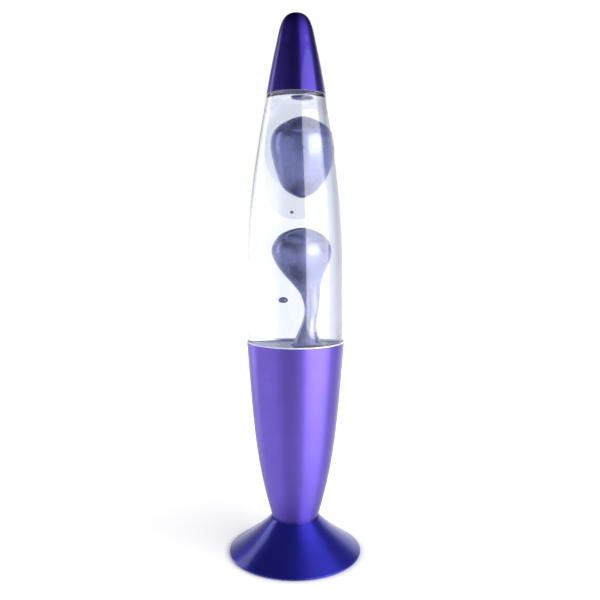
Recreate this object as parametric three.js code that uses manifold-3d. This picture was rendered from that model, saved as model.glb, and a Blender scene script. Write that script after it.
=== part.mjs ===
// Lava lamp, 406 mm tall: a spun aluminium foot, cup and cap round a glass bottle of clear
// liquid and wax, with the lampholder and small reflector bulb that warm it from below.
// Millimetres, +Z up, z = 0 is the table, the bottle's axis is the Z axis.
import * as THREE from 'three';
import { mergeVertices } from 'three/addons/utils/BufferGeometryUtils.js';
import Module from 'manifold-3d';

const wasm = await Module();
wasm.setup();

// ---------------------------------------------------------------- sizes
const GAP = 0.3;                    // clearance left between touching parts
const SHEET = 1.0;                  // spun aluminium of foot, cup and cap
const SIDES_LARGE = 28;             // facets round the body
const SIDES_THREAD = 20;            // facets round the screw threads
const SIDES_SMALL = 16;             // facets round the small fittings

// foot
const FOOT_RADIUS = 50.9;           // outer edge of the hem
const FOOT_HEIGHT = 27.9;           // table to the top of the collar
const COLLAR_RADIUS = 18.35;        // outside, at the waist
const COLLAR_LIP = 0.8;             // how far the collar stands above the foot's top plate
const HEM_RISE = 1.2;               // height of the hem's outer edge
const HEM_WIDTH = 6;                // sheet turned flat under the edge
const BASE_PLATE = 1.2;             // thickness of the steel plate held by the hem
const ACCESS_HOLE_RADIUS = 14;      // hole in the middle of the plate
const PAD_RADIUS = 4.2;             // rubber feet
const PAD_HEIGHT = 1.4;             // they hold the plate and the hem off the table
const PAD_STEM_RADIUS = 1.8;
const CORD_RADIUS = 2.9;            // cord the inlet is made for
const INLET_HEIGHT = 9.5;           // middle of the cord inlet above the table

// cup
const CUP_HEIGHT = 138.9;           // underside of its floor to the rim
const CUP_RIM_RADIUS = 36.95;

// bottle
const GLASS = 2.2;                  // wall
const BULB_HEADROOM = 13.8;         // bulb to bottle: room to unscrew the bulb
const BOTTLE_BELLY = 36.7;          // widest radius, a little above the rim
const BOTTLE_SHOULDER_RADIUS = 21.8;
const BOTTLE_SHOULDER = 181.1;      // cup rim to the bottle's shoulder, under the cap
const NECK_RADIUS = 12.4;
const NECK_LENGTH = 24;             // shoulder to mouth
const LIQUID_DROP = 2.2;            // liquid's surface below the shoulder

// wax
const POOL_DROP = 0.8;              // wax pool below the cup's rim
const COIL_WIRE = 0.5;              // wire radius
const COIL_RADIUS = 2.6;            // of each turn
const COIL_TURNS = 17;

// cap and crown closure
const CAP_OVERHANG = 0.05;          // cap's rim outside the bottle's shoulder
const CAP_STRAIGHT = 36.1;          // conical part
const CAP_OVER_NECK = 2.2;          // cap outside the neck where its cone ends and dome begins
const CAP_DOME = 22;
const CROWN_FLUTES = 21;
const CROWN_SHEET = 0.5;
const CROWN_HEIGHT = 5.9;

// lampholder and bulb, standard small screw size
const TUBE_RADIUS = 5;              // threaded tube that clamps holder, cup and foot
const TUBE_BORE = 4;
const TUBE_LENGTH = 22;
const HOLDER_RADIUS = 13.5;
const HOLDER_HEIGHT = 36.8;
const SCREW_PITCH = 2.82;
const SCREW_RADIUS = 6.55;          // middle of the thread on the bulb's cap
const SCREW_DEPTH = 0.4;            // thread above and below the middle
const SCREW_CLEARANCE = 0.45;       // holder's thread outside the bulb's
const BULB_RADIUS = 19.5;
const BULB_LENGTH = 67;

// ---------------------------------------------------------------- heights that follow
const HEM_CLEARANCE = PAD_HEIGHT - SHEET;       // hem above the table
const PLATE_TOP = FOOT_HEIGHT - COLLAR_LIP;
const CUP_FLOOR = PLATE_TOP + GAP;
const CUP_RIM = CUP_FLOOR + CUP_HEIGHT;
const HOLDER_BOTTOM = CUP_FLOOR + SHEET + GAP;
const BULB_TIP = HOLDER_BOTTOM + 16.8;
const BULB_TOP = BULB_TIP + BULB_LENGTH;
const BOTTLE_BOTTOM = BULB_TOP + BULB_HEADROOM;
const BOTTLE_IN_CUP = CUP_RIM - BOTTLE_BOTTOM;  // length hidden below the cup's rim
const SHOULDER = CUP_RIM + BOTTLE_SHOULDER;
const MOUTH = SHOULDER + NECK_LENGTH;
const CAP_RIM = SHOULDER + GAP + 0.2;
const LIQUID_LEVEL = SHOULDER - LIQUID_DROP;
const POOL_LEVEL = CUP_RIM - POOL_DROP;
const CAP_RIM_RADIUS = BOTTLE_SHOULDER_RADIUS + CAP_OVERHANG;
const CAP_SHOULDER_RADIUS = NECK_RADIUS + CAP_OVER_NECK;

// ---------------------------------------------------------------- shape helpers
const at = (radius, height) => new THREE.Vector2(radius, height);

// a closed geometry as a solid, its faces turned outward
function solid(geometry) {
  geometry.deleteAttribute('normal');
  geometry.deleteAttribute('uv');
  const whole = mergeVertices(geometry, 1e-4);
  const corners = whole.index.array;
  const faces = [];
  let volume = 0;
  const [a, b, c] = [new THREE.Vector3(), new THREE.Vector3(), new THREE.Vector3()];
  for (let i = 0; i < corners.length; i += 3) {
    const [p, q, r] = [corners[i], corners[i + 1], corners[i + 2]];
    if (p === q || q === r || r === p) continue;
    faces.push(p, q, r);
    a.fromBufferAttribute(whole.attributes.position, p);
    b.fromBufferAttribute(whole.attributes.position, q);
    c.fromBufferAttribute(whole.attributes.position, r);
    volume += a.dot(b.cross(c));
  }
  if (volume < 0) faces.reverse();
  return new wasm.Manifold(new wasm.Mesh({
    numProp: 3,
    vertProperties: new Float32Array(whole.attributes.position.array),
    triVerts: new Uint32Array(faces),
  }));
}

// an outline turned round the Z axis; it starts and ends on the axis or closes on itself.
// bend, if given, moves every point of the turned surface
function turned(outline, sides = SIDES_LARGE, bend = null) {
  const geometry = new THREE.LatheGeometry(outline, sides);
  geometry.rotateX(Math.PI / 2);
  if (bend) {
    const position = geometry.attributes.position;
    const point = new THREE.Vector3();
    for (let i = 0; i < position.count; i++) {
      bend(point.fromBufferAttribute(position, i));
      position.setXYZ(i, point.x, point.y, point.z);
    }
  }
  return solid(geometry);
}

// a ring or sleeve of rectangular section
function ring(inside, outside, bottom, top, sides = SIDES_SMALL) {
  return turned([at(inside, bottom), at(outside, bottom), at(outside, top), at(inside, top),
    at(inside, bottom)], sides);
}

// a plain disc or rod standing on the Z axis
function disc(radius, bottom, top, sides = SIDES_SMALL) {
  return turned([at(0, bottom), at(radius, bottom), at(radius, top), at(0, top)], sides);
}

function box(width, depth, bottom, top) {
  const geometry = new THREE.BoxGeometry(width, depth, top - bottom);
  return solid(geometry.translate(0, 0, (bottom + top) / 2));
}

// points along a curve with two pulls between its ends
function curve(start, pull1, pull2, end, steps) {
  return new THREE.CubicBezierCurve(start, pull1, pull2, end).getPoints(steps);
}

// an outline that travels upward, moved toward the axis by a distance
function inward(outline, distance) {
  return outline.map((point, i) => {
    const before = outline[Math.max(i - 1, 0)];
    const after = outline[Math.min(i + 1, outline.length - 1)];
    const along = after.clone().sub(before).normalize();
    if (point.x === 0) return at(0, point.y + Math.sign(along.x) * distance);
    return at(point.x - along.y * distance, point.y + along.x * distance);
  });
}

// radius of an upward outline at a height
function radiusAt(outline, height) {
  for (let i = 1; i < outline.length; i++) {
    const [low, high] = [outline[i - 1], outline[i]];
    if (height <= high.y) {
      return low.x + (high.x - low.x) * (height - low.y) / (high.y - low.y);
    }
  }
  return outline[outline.length - 1].x;
}

const group = new THREE.Group();
group.name = 'lava_lamp';

function add(name, shape, color, roughness, metalness) {
  const mesh = shape.getMesh();
  const geometry = new THREE.BufferGeometry();
  geometry.setAttribute('position', new THREE.BufferAttribute(mesh.vertProperties, 3));
  geometry.setIndex(new THREE.BufferAttribute(mesh.triVerts, 1));
  geometry.computeVertexNormals();
  const part = new THREE.Mesh(geometry,
    new THREE.MeshStandardMaterial({ color, roughness, metalness }));
  part.name = name;
  group.add(part);
}

// ---------------------------------------------------------------- foot
const hemTop = HEM_CLEARANCE + HEM_RISE;
const hemInside = FOOT_RADIUS - HEM_WIDTH;

// outside of the foot from hem to collar: a cone that steepens toward the waist
const footSpan = FOOT_RADIUS - COLLAR_RADIUS;
const footOutline = curve(at(FOOT_RADIUS, hemTop),
  at(COLLAR_RADIUS + footSpan * 0.5, FOOT_HEIGHT * 0.484),
  at(COLLAR_RADIUS + footSpan * 0.383, FOOT_HEIGHT * 0.552), at(COLLAR_RADIUS, FOOT_HEIGHT), 7);

function footSkirt() {
  const under = inward(footOutline, SHEET).filter((point) => point.y < PLATE_TOP - 2 * SHEET
    && point.x < FOOT_RADIUS - 2 * SHEET);
  const plateUnder = PLATE_TOP - SHEET;
  const hem = HEM_CLEARANCE + SHEET;
  return turned([
    at(TUBE_RADIUS + GAP, PLATE_TOP), at(COLLAR_RADIUS - 0.7, PLATE_TOP),
    at(COLLAR_RADIUS - 0.7, FOOT_HEIGHT),
    ...footOutline.toReversed(),
    at(FOOT_RADIUS, HEM_CLEARANCE + 0.4), at(FOOT_RADIUS - 0.5, HEM_CLEARANCE),
    at(hemInside, HEM_CLEARANCE), at(hemInside, hem),
    at(FOOT_RADIUS - SHEET * 1.6, hem),
    ...under,
    at(COLLAR_RADIUS - SHEET, plateUnder), at(TUBE_RADIUS + GAP, plateUnder),
    at(TUBE_RADIUS + GAP, PLATE_TOP),
  ]);
}

// a rod lying along Y through the back of the foot, at the cord inlet
function inletRod(radius) {
  const rod = new THREE.CylinderGeometry(radius, radius, FOOT_RADIUS, SIDES_SMALL);
  return solid(rod.translate(0, FOOT_RADIUS * 0.75, INLET_HEIGHT));
}

const inletSleeve = CORD_RADIUS + 1.1;

// a layer lying on the foot's sheet, between two distances inward of its outside
function footLayer(from, to) {
  return turned([...inward(footOutline, from), ...inward(footOutline, to).toReversed(),
    inward(footOutline, from)[0]]);
}

function cordGrommet() {
  const flanges = footLayer(-GAP - 1, -GAP).add(footLayer(SHEET + GAP, SHEET + GAP + 1))
    .intersect(inletRod(inletSleeve + 1.4));
  const sleeve = footLayer(-GAP - 1, SHEET + GAP + 1).intersect(inletRod(inletSleeve));
  return sleeve.add(flanges).subtract(inletRod(CORD_RADIUS + 0.2));
}

const plateBottom = HEM_CLEARANCE + SHEET + GAP;
const padCircle = hemInside - PAD_RADIUS - 0.6;
const padAngles = [45, 135, 225, 315].map((angle) => angle * Math.PI / 180);
const around = (shape, radius, angle) => shape.translate(
  [radius * Math.cos(angle), radius * Math.sin(angle), 0]);

function basePlate() {
  let plate = ring(ACCESS_HOLE_RADIUS, hemInside + 1, plateBottom, plateBottom + BASE_PLATE,
    SIDES_LARGE);
  for (const angle of padAngles) {
    plate = plate.subtract(around(disc(PAD_STEM_RADIUS + GAP, 0, FOOT_HEIGHT, 12),
      padCircle, angle));
  }
  const vents = 12;
  for (let i = 0; i < vents; i++) {
    const slot = box(9, 2.4, 0, FOOT_HEIGHT).translate([(ACCESS_HOLE_RADIUS + padCircle) / 2 - 2, 0, 0]);
    plate = plate.subtract(slot.rotate([0, 0, (i + 0.5) * 360 / vents]));
  }
  return plate;
}

function rubberFoot(angle) {
  const stemTop = plateBottom + BASE_PLATE + GAP;
  const pad = turned([
    at(0, 0), at(PAD_RADIUS - 0.4, 0), at(PAD_RADIUS, 0.4), at(PAD_RADIUS, PAD_HEIGHT),
    at(PAD_STEM_RADIUS, PAD_HEIGHT), at(PAD_STEM_RADIUS, stemTop),
    at(PAD_STEM_RADIUS + 0.8, stemTop), at(PAD_STEM_RADIUS, stemTop + 1.2), at(0, stemTop + 1.2),
  ], 12);
  return around(pad, padCircle, angle);
}

add('foot_skirt', footSkirt().subtract(inletRod(inletSleeve + 2 * GAP)), '#2b2793', 0.35, 0.8);
add('cord_grommet', cordGrommet(), '#191a1d', 0.7, 0);
add('base_plate', basePlate(), '#b9bcc0', 0.4, 0.9);
padAngles.forEach((angle, i) => {
  add(`rubber_foot_${i + 1}`, rubberFoot(angle), '#1c1c1e', 0.85, 0);
});

// ---------------------------------------------------------------- cup
const cupFloorRadius = COLLAR_RADIUS - 0.7 - GAP;
const cupSpan = CUP_RIM_RADIUS - cupFloorRadius;
const cupWall = curve(at(cupFloorRadius + 0.4, CUP_FLOOR + 1.6),
  at(cupFloorRadius + cupSpan * 0.69, CUP_FLOOR + CUP_HEIGHT * 0.33),
  at(cupFloorRadius + cupSpan * 0.77, CUP_FLOOR + CUP_HEIGHT * 0.58),
  at(CUP_RIM_RADIUS, CUP_RIM), 7);

function cupShell() {
  const inside = inward(cupWall, SHEET);
  inside[inside.length - 1].y = CUP_RIM;
  return turned([
    at(TUBE_RADIUS + GAP, CUP_FLOOR), at(cupFloorRadius, CUP_FLOOR),
    at(cupFloorRadius, CUP_FLOOR + 1), ...cupWall,
    ...inside.toReversed(),
    at(cupFloorRadius - SHEET, CUP_FLOOR + SHEET), at(TUBE_RADIUS + GAP, CUP_FLOOR + SHEET),
    at(TUBE_RADIUS + GAP, CUP_FLOOR),
  ]);
}

add('cup_shell', cupShell(), '#6f57c4', 0.3, 0.85);

// ---------------------------------------------------------------- bottle
// outside of the bottle from the middle of its base to the foot of its neck. In the cup it
// follows the cup's wall, with a clearance that closes toward the rim
function bottleOutline() {
  const corner = 8;
  const loose = 1.2;
  const inCup = (height) => radiusAt(cupWall, height) - SHEET - GAP
    - loose * (CUP_RIM - height) / BOTTLE_IN_CUP;
  const cornerTop = BOTTLE_BOTTOM + corner;
  const baseRadius = inCup(cornerTop);
  const base = curve(at(baseRadius - corner, BOTTLE_BOTTOM),
    at(baseRadius - corner * 0.4, BOTTLE_BOTTOM), at(baseRadius, BOTTLE_BOTTOM + corner * 0.5),
    at(baseRadius, cornerTop), 3);
  const belly = CUP_RIM + 12.9;
  return [
    at(0, BOTTLE_BOTTOM + 2), at(baseRadius * 0.45, BOTTLE_BOTTOM + 1.4), ...base,
    at(inCup((cornerTop + CUP_RIM) / 2), (cornerTop + CUP_RIM) / 2),
    at(inCup(CUP_RIM), CUP_RIM), at(BOTTLE_BELLY * 0.991, CUP_RIM + 4),
    ...curve(at(BOTTLE_BELLY, belly),
      at(BOTTLE_BELLY, belly + (SHOULDER - belly) * 0.448),
      at(BOTTLE_BELLY * 0.919, belly + (SHOULDER - belly) * 0.62),
      at(BOTTLE_SHOULDER_RADIUS, SHOULDER - 0.8), 8),
  ];
}

const bottleBody = bottleOutline();
const shoulderInside = CAP_RIM_RADIUS - SHEET - GAP - 0.2;
const neckFoot = SHOULDER + NECK_LENGTH * 0.58;
const bottleNeck = curve(at(shoulderInside, SHOULDER), at(shoulderInside - 1.5, SHOULDER + 6),
  at(NECK_RADIUS, neckFoot - 7), at(NECK_RADIUS, neckFoot), 4);

function glassBottle() {
  const inside = inward([...bottleBody, ...bottleNeck.slice(1)], GLASS);
  const bore = NECK_RADIUS - GLASS;
  inside[inside.length - 1] = at(bore, neckFoot);
  const bead = NECK_RADIUS + 0.7;
  return turned([
    ...bottleBody, ...bottleNeck,
    at(bead, neckFoot + 2.2), at(bead, MOUTH - 0.6), at(bead - 0.6, MOUTH), at(bore, MOUTH),
    ...inside.toReversed(),
  ]);
}

// everything inside the glass up to the liquid's surface, less the clearance
function bottleInside(bottom, top) {
  const wall = inward([...bottleBody, ...bottleNeck.slice(1)], GLASS + GAP);
  wall[wall.length - 1] = at(NECK_RADIUS - GLASS - GAP, neckFoot);
  const room = turned([...wall, at(0, neckFoot)]);
  return room.intersect(box(4 * BOTTLE_BELLY, 4 * BOTTLE_BELLY, bottom, top));
}

add('glass_bottle', glassBottle(), '#e6ecf2', 0.05, 0);

// ---------------------------------------------------------------- wax and liquid
// a lump of wax, from sections of [height, middle in x, half width] listed upward; grow
// swells it, to cut the room it needs in the liquid
function waxLump(sections, grow = 0, sides = SIDES_SMALL) {
  const path = new THREE.CatmullRomCurve3(
    sections.map(([height, middle, half]) => new THREE.Vector3(half, middle, height)));
  const rows = path.getPoints(Math.round((sections.length - 1) * 1.5));
  const middle = rows.map((row) => at(row.y, row.z));
  const top = rows.length - 1;
  const outline = rows.map((row, i) => at(i === 0 || i === top ? 0 : row.x, row.z));
  return turned(inward(outline, -grow), sides, (point) => {
    point.x += radiusAt(middle, point.z);
  });
}

const bellyLength = SHOULDER - CUP_RIM;
const up = (part) => CUP_RIM + bellyLength * part;    // part of the way from rim to shoulder
const wide = (part) => BOTTLE_BELLY * part;

// column rising out of the pool, drawn thin below the lump it carries
const columnSections = [
  [POOL_LEVEL - 6, wide(0.18), wide(0.3)], [POOL_LEVEL + 0.4, wide(0.178), wide(0.235)],
  [up(0.03), wide(0.179), wide(0.165)], [up(0.08), wide(0.209), wide(0.114)],
  [up(0.135), wide(0.244), wide(0.112)], [up(0.2), wide(0.222), wide(0.155)],
  [up(0.24), wide(0.168), wide(0.22)], [up(0.287), wide(0.117), wide(0.33)],
  [up(0.337), wide(0.095), wide(0.428)], [up(0.373), wide(0.088), wide(0.457)],
  [up(0.415), wide(0.092), wide(0.404)], [up(0.444), wide(0.09), wide(0.295)],
  [up(0.466), wide(0.095), 0],
];
const upperSections = [
  [up(0.583), wide(0.092), 0], [up(0.61), wide(0.08), wide(0.225)],
  [up(0.645), wide(0.09), wide(0.328)], [up(0.71), wide(0.108), wide(0.428)],
  [up(0.79), wide(0.106), wide(0.485)], [up(0.853), wide(0.108), wide(0.428)],
  [up(0.891), wide(0.108), wide(0.225)], [up(0.907), wide(0.095), 0],
];

// a small drop: [x, y], height of its middle, half width, half height
const drops = {
  wax_drop_large: { x: wide(-0.214), y: wide(-0.542), z: up(0.182), half: 3.3, tall: 2.2 },
  wax_drop_small: { x: wide(-0.068), y: wide(-0.65), z: up(0.528), half: 1.2, tall: 1.1 },
};

function waxDrop({ x, y, z, half, tall }, grow = 0) {
  const drop = new THREE.SphereGeometry(1, 12, 8).rotateX(Math.PI / 2);
  return solid(drop.scale(half + grow, half + grow, tall + grow).translate(x, y, z));
}

// wax that floats flat under the liquid's surface
const lensHalf = wide(0.18);
function floatingLens(grow = 0) {
  const half = lensHalf + grow;
  const top = LIQUID_LEVEL - 0.6 + grow;
  const lens = turned([at(0, top - 2.4 - 2 * grow), at(half * 0.55, top - 2 - 2 * grow),
    at(half * 0.9, top - 1 - grow), at(half, top), at(0, top)], SIDES_SMALL);
  return lens.translate([wide(0.092), 0, 0]);
}

// room for the wire coil, a ring lying on the bottle's base
const coilRing = radiusAt(bottleBody, BOTTLE_BOTTOM + 8) * 0.66;
const coilHeight = BOTTLE_BOTTOM + 1.5 + GLASS + GAP + COIL_RADIUS + COIL_WIRE;

function coilRoom() {
  const room = (COIL_RADIUS + COIL_WIRE + GAP) / Math.cos(Math.PI / 6) + 0.2;
  const torus = new THREE.TorusGeometry(coilRing, room, 6, SIDES_LARGE);
  const around = solid(torus.translate(0, 0, coilHeight));
  return around.add(ring(coilRing - room * 0.7, coilRing + room * 0.7,
    BOTTLE_BOTTOM - 1, coilHeight, SIDES_LARGE));
}

// a wire wound into a spring and the spring bent to a ring, its ends just apart
class CoilCurve extends THREE.Curve {
  getPoint(t, target = new THREE.Vector3()) {
    const way = (0.01 + 0.98 * t) * 2 * Math.PI;
    const turn = way * COIL_TURNS;
    const radius = coilRing + COIL_RADIUS * Math.cos(turn);
    return target.set(radius * Math.cos(way), radius * Math.sin(way),
      coilHeight + COIL_RADIUS * Math.sin(turn));
  }
}

function wireCoil() {
  const section = new THREE.Shape();
  section.absarc(0, 0, COIL_WIRE, 0, 2 * Math.PI);
  return solid(new THREE.ExtrudeGeometry(section, {
    extrudePath: new CoilCurve(), steps: COIL_TURNS * 6, curveSegments: 2,
  }));
}

function waxPool() {
  return bottleInside(0, POOL_LEVEL).subtract(coilRoom()).add(waxLump(columnSections));
}

// the liquid over the pool, with room for the wax in it. A thin passage leads from each loose
// lump's room up to the surface
function clearLiquid() {
  let liquid = bottleInside(POOL_LEVEL + GAP, LIQUID_LEVEL)
    .subtract(waxLump(columnSections, GAP))
    .subtract(waxLump(upperSections, GAP))
    .subtract(floatingLens(GAP).add(disc(lensHalf, LIQUID_LEVEL - 1, LIQUID_LEVEL + 1)
      .translate([wide(0.092), 0, 0])))
    .subtract(disc(0.8, up(0.89), LIQUID_LEVEL, 6).translate([wide(0.1), 0, 0]));
  for (const drop of Object.values(drops)) {
    const passage = disc(0.5, drop.z, POOL_LEVEL, 6).translate([drop.x, drop.y, 0]);
    liquid = liquid.subtract(waxDrop(drop, GAP)).subtract(passage);
  }
  return liquid;
}

add('wax_pool_and_column', waxPool(), '#8f93c4', 0.4, 0.3);
add('wax_lump_upper', waxLump(upperSections), '#8f93c4', 0.4, 0.3);
for (const [name, drop] of Object.entries(drops)) {
  add(name, waxDrop(drop), '#8f93c4', 0.4, 0.3);
}
add('wax_floating', floatingLens(), '#8f93c4', 0.4, 0.3);
add('clear_liquid', clearLiquid(), '#eef1fb', 0.02, 0);
add('wire_coil', wireCoil(), '#a8a9ad', 0.4, 0.9);

// ---------------------------------------------------------------- crown closure and cap
function crownCap() {
  const bottom = MOUTH + GAP * 2 + 0.8 + CROWN_SHEET - CROWN_HEIGHT;
  const top = bottom + CROWN_HEIGHT;
  const inside = NECK_RADIUS + 0.7 + GAP;
  const skirt = inside + CROWN_SHEET;
  // the skirt is pressed into flutes that deepen toward its edge
  const flute = (point) => {
    const radius = Math.hypot(point.x, point.y);
    const depth = radius < inside - 0.5 ? 0 : 0.45 * Math.min((top - point.z) / CROWN_HEIGHT, 1);
    const scale = 1 + depth * (1 + Math.cos(CROWN_FLUTES * Math.atan2(point.y, point.x))) / radius;
    point.x *= scale;
    point.y *= scale;
  };
  return turned([
    at(0, top), at(skirt - 2, top), at(skirt - 0.3, top - 0.6), at(skirt, top - 2.4),
    at(skirt, bottom), at(inside, bottom), at(inside, top - 2.4),
    at(inside - 0.2, top - CROWN_SHEET), at(0, top - CROWN_SHEET),
  ], CROWN_FLUTES * 3, flute);
}

function capShell() {
  const shoulder = CAP_RIM + CAP_STRAIGHT;
  const top = shoulder + CAP_DOME;
  const outside = [at(CAP_RIM_RADIUS, CAP_RIM),
    at(CAP_RIM_RADIUS + (CAP_SHOULDER_RADIUS - CAP_RIM_RADIUS) * 0.48, CAP_RIM + CAP_STRAIGHT * 0.5),
    ...curve(at(CAP_SHOULDER_RADIUS, shoulder),
      at(CAP_SHOULDER_RADIUS * 0.79, shoulder + CAP_DOME * 0.7),
      at(CAP_SHOULDER_RADIUS * 0.65, top), at(0, top), 6)];
  const inside = inward(outside, SHEET);
  inside[0].y = CAP_RIM;
  inside[inside.length - 1] = at(0, top - SHEET);
  return turned([...outside, ...inside.toReversed(), outside[0]]);
}

add('crown_cap', crownCap(), '#c9ccd1', 0.3, 0.95);
add('crown_liner', disc(NECK_RADIUS + 0.5, MOUTH + GAP, MOUTH + GAP + 0.8), '#d8d6cf', 0.6, 0);
add('cap_shell', capShell(), '#1b1a66', 0.25, 0.85);

// ---------------------------------------------------------------- clamp under the foot's plate
const clampTop = PLATE_TOP - SHEET;
const tubeTop = HOLDER_BOTTOM + 8.6;

function hexNut(bottom, height) {
  const acrossFlats = 2 * TUBE_RADIUS + 4;
  return disc(acrossFlats / Math.sqrt(3), bottom, bottom + height, 6)
    .subtract(disc(TUBE_RADIUS + GAP, 0, FOOT_HEIGHT));
}

function lockWasher(bottom) {
  const washerRadius = TUBE_RADIUS + 3.2;
  let washer = ring(TUBE_RADIUS + GAP, washerRadius, bottom, bottom + 0.8, 24);
  for (let i = 0; i < 12; i++) {
    const notch = box(1.4, 1, 0, FOOT_HEIGHT).translate([washerRadius, 0, 0]);
    washer = washer.subtract(notch.rotate([0, 0, i * 30]));
  }
  return washer;
}

function earthTag(bottom) {
  const reach = COLLAR_RADIUS - 3.2;
  const tongue = box(reach, 5, bottom, bottom + 0.8).translate([reach / 2, 0, 0]);
  const hole = disc(1.4, 0, FOOT_HEIGHT, 12).translate([reach - 2.6, 0, 0]);
  return disc(TUBE_RADIUS + 2.6, bottom, bottom + 0.8).add(tongue).subtract(hole)
    .subtract(disc(TUBE_RADIUS + GAP, 0, FOOT_HEIGHT));
}

const tagBottom = clampTop - GAP - 0.8;
const washerBottom = tagBottom - GAP - 0.8;
add('threaded_tube', ring(TUBE_BORE, TUBE_RADIUS, tubeTop - TUBE_LENGTH, tubeTop),
  '#b8a25a', 0.35, 0.95);
add('earth_tag', earthTag(tagBottom), '#c2a14d', 0.35, 0.95);
add('lock_washer', lockWasher(washerBottom), '#9da0a4', 0.4, 0.95);
add('hex_nut', hexNut(washerBottom - GAP - 4, 4), '#b9bcc0', 0.35, 0.95);

// ---------------------------------------------------------------- lampholder
const holderSplit = HOLDER_BOTTOM + HOLDER_HEIGHT * 0.485;
const holderTop = HOLDER_BOTTOM + HOLDER_HEIGHT;
const holderWall = 1.4;
const insertFloor = BULB_TIP - 4;
const insertRadius = HOLDER_RADIUS - 2 * holderWall - 2 * GAP - 0.2;
const terminalRadius = insertRadius - 2.9;      // from the axis to each terminal screw

function holderDome() {
  const outside = [at(TUBE_RADIUS + 3, HOLDER_BOTTOM),
    at(TUBE_RADIUS + 3, HOLDER_BOTTOM + 2.4),
    at(HOLDER_RADIUS - 2, HOLDER_BOTTOM + 6), at(HOLDER_RADIUS, HOLDER_BOTTOM + 11),
    at(HOLDER_RADIUS, holderSplit)];
  const wall = HOLDER_RADIUS - holderWall;
  return turned([at(TUBE_RADIUS + GAP, HOLDER_BOTTOM), ...outside,
    at(wall, holderSplit), at(wall, HOLDER_BOTTOM + 11.4), at(wall - 2, HOLDER_BOTTOM + 7.6),
    at(TUBE_RADIUS + GAP, HOLDER_BOTTOM + 5), at(TUBE_RADIUS + GAP, HOLDER_BOTTOM)],
  SIDES_THREAD);
}

function holderSkirt() {
  const spigot = HOLDER_RADIUS - holderWall - GAP;
  const bore = insertRadius + GAP;
  return turned([at(bore, holderSplit - 3.6), at(spigot, holderSplit - 3.6),
    at(spigot, holderSplit + GAP), at(HOLDER_RADIUS, holderSplit + GAP),
    at(HOLDER_RADIUS, holderTop - 1), at(HOLDER_RADIUS - 1, holderTop), at(bore, holderTop),
    at(bore, holderSplit - 3.6)], SIDES_THREAD);
}

// middle radius of the holder's thread, and the shell pressed round it
const shellThread = SCREW_RADIUS + SCREW_CLEARANCE;
const shellRadius = shellThread + SCREW_DEPTH + 0.6;
const shellBottom = insertFloor + 4.6;
const shellTop = holderTop - 2.6;
const threadBottom = BULB_TIP + 5;
const threadTop = threadBottom + SCREW_PITCH * 3.8;

function holderInsert() {
  const floorTop = insertFloor + 2.5;
  const body = turned([at(0, insertFloor), at(insertRadius, insertFloor),
    at(insertRadius, insertFloor + 10), at(shellRadius + GAP, insertFloor + 10),
    at(shellRadius + GAP, floorTop), at(0, floorTop)], SIDES_THREAD);
  return [-1, 1].reduce((rest, side) => rest.subtract(
    disc(1.3 + GAP, 0, MOUTH, 12).translate([0, side * terminalRadius, 0])), body);
}

// pushes the points of one wall in and out along a right-hand thread. The thread dies away
// at its two ends
function thread(middle, bottom, top) {
  return (point) => {
    const radius = Math.hypot(point.x, point.y);
    if (Math.abs(radius - middle) > 0.01 || point.z < bottom || point.z > top) return;
    const turn = point.z / SCREW_PITCH - Math.atan2(point.y, point.x) / (2 * Math.PI);
    const fade = Math.min(1, (point.z - bottom) / 1.4, (top - point.z) / 1.4);
    const scale = (middle + SCREW_DEPTH * fade * Math.cos(2 * Math.PI * turn)) / middle;
    point.x *= scale;
    point.y *= scale;
  };
}

// evenly spaced points up a wall, five to each turn of the thread
function threadWall(radius, bottom, top) {
  const steps = Math.round((top - bottom) / SCREW_PITCH * 5);
  return Array.from({ length: steps + 1 },
    (_, i) => at(radius, bottom + (top - bottom) * i / steps));
}

function holderScrewShell() {
  const wall = threadWall(shellThread, threadBottom, threadTop);
  return turned([at(shellThread, shellBottom), ...wall, at(shellThread, shellTop),
    at(shellRadius, shellTop), at(shellRadius, shellBottom), at(shellThread, shellBottom)],
  SIDES_THREAD, thread(shellThread, threadBottom, threadTop));
}

// spring tongue under the bulb's tip
function centreContact() {
  const bottom = insertFloor + 2.5 + GAP;
  const outline = new THREE.Shape([at(-6, 0), at(3, 0), at(3, 0.4), at(-4.6, 0.4),
    at(-1, 0.6), at(2, 0.5), at(2, 0.7), at(-1, 0.9), at(-5, 0.7), at(-6, 0.5)]);
  const strip = new THREE.ExtrudeGeometry(outline, { depth: 4, bevelEnabled: false });
  return solid(strip.rotateX(Math.PI / 2).translate(0, 2, bottom));
}

function terminalScrew(side) {
  const headBottom = insertFloor - GAP - 2;
  const screw = turned([at(0, headBottom), at(2.2, headBottom), at(2.2, headBottom + 2),
    at(1.25, headBottom + 2), at(1.25, insertFloor + 2.1), at(0, insertFloor + 2.1)], 12)
    .subtract(box(5, 0.7, headBottom - 1, headBottom + 0.8));
  return screw.translate([0, side * terminalRadius, 0]);
}

add('holder_dome', holderDome(), '#1e1f22', 0.45, 0);
add('holder_skirt', holderSkirt(), '#1e1f22', 0.45, 0);
add('holder_insert', holderInsert(), '#e9e5db', 0.5, 0);
add('holder_screw_shell', holderScrewShell(), '#c2a14d', 0.3, 0.95);
add('holder_centre_contact', centreContact(), '#c2a14d', 0.3, 0.95);
[-1, 1].forEach((side, i) => {
  add(`terminal_screw_${i + 1}`, terminalScrew(side), '#b9bcc0', 0.35, 0.95);
});

// ---------------------------------------------------------------- bulb
const capBottom = BULB_TIP + 4.3;           // of the bulb's screw cap
const capTop = BULB_TIP + 20;
const capInside = SCREW_RADIUS - SCREW_DEPTH - 0.5;
const collarRadius = SCREW_RADIUS + 1.65;   // flared top of the screw cap, under the glass

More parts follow.
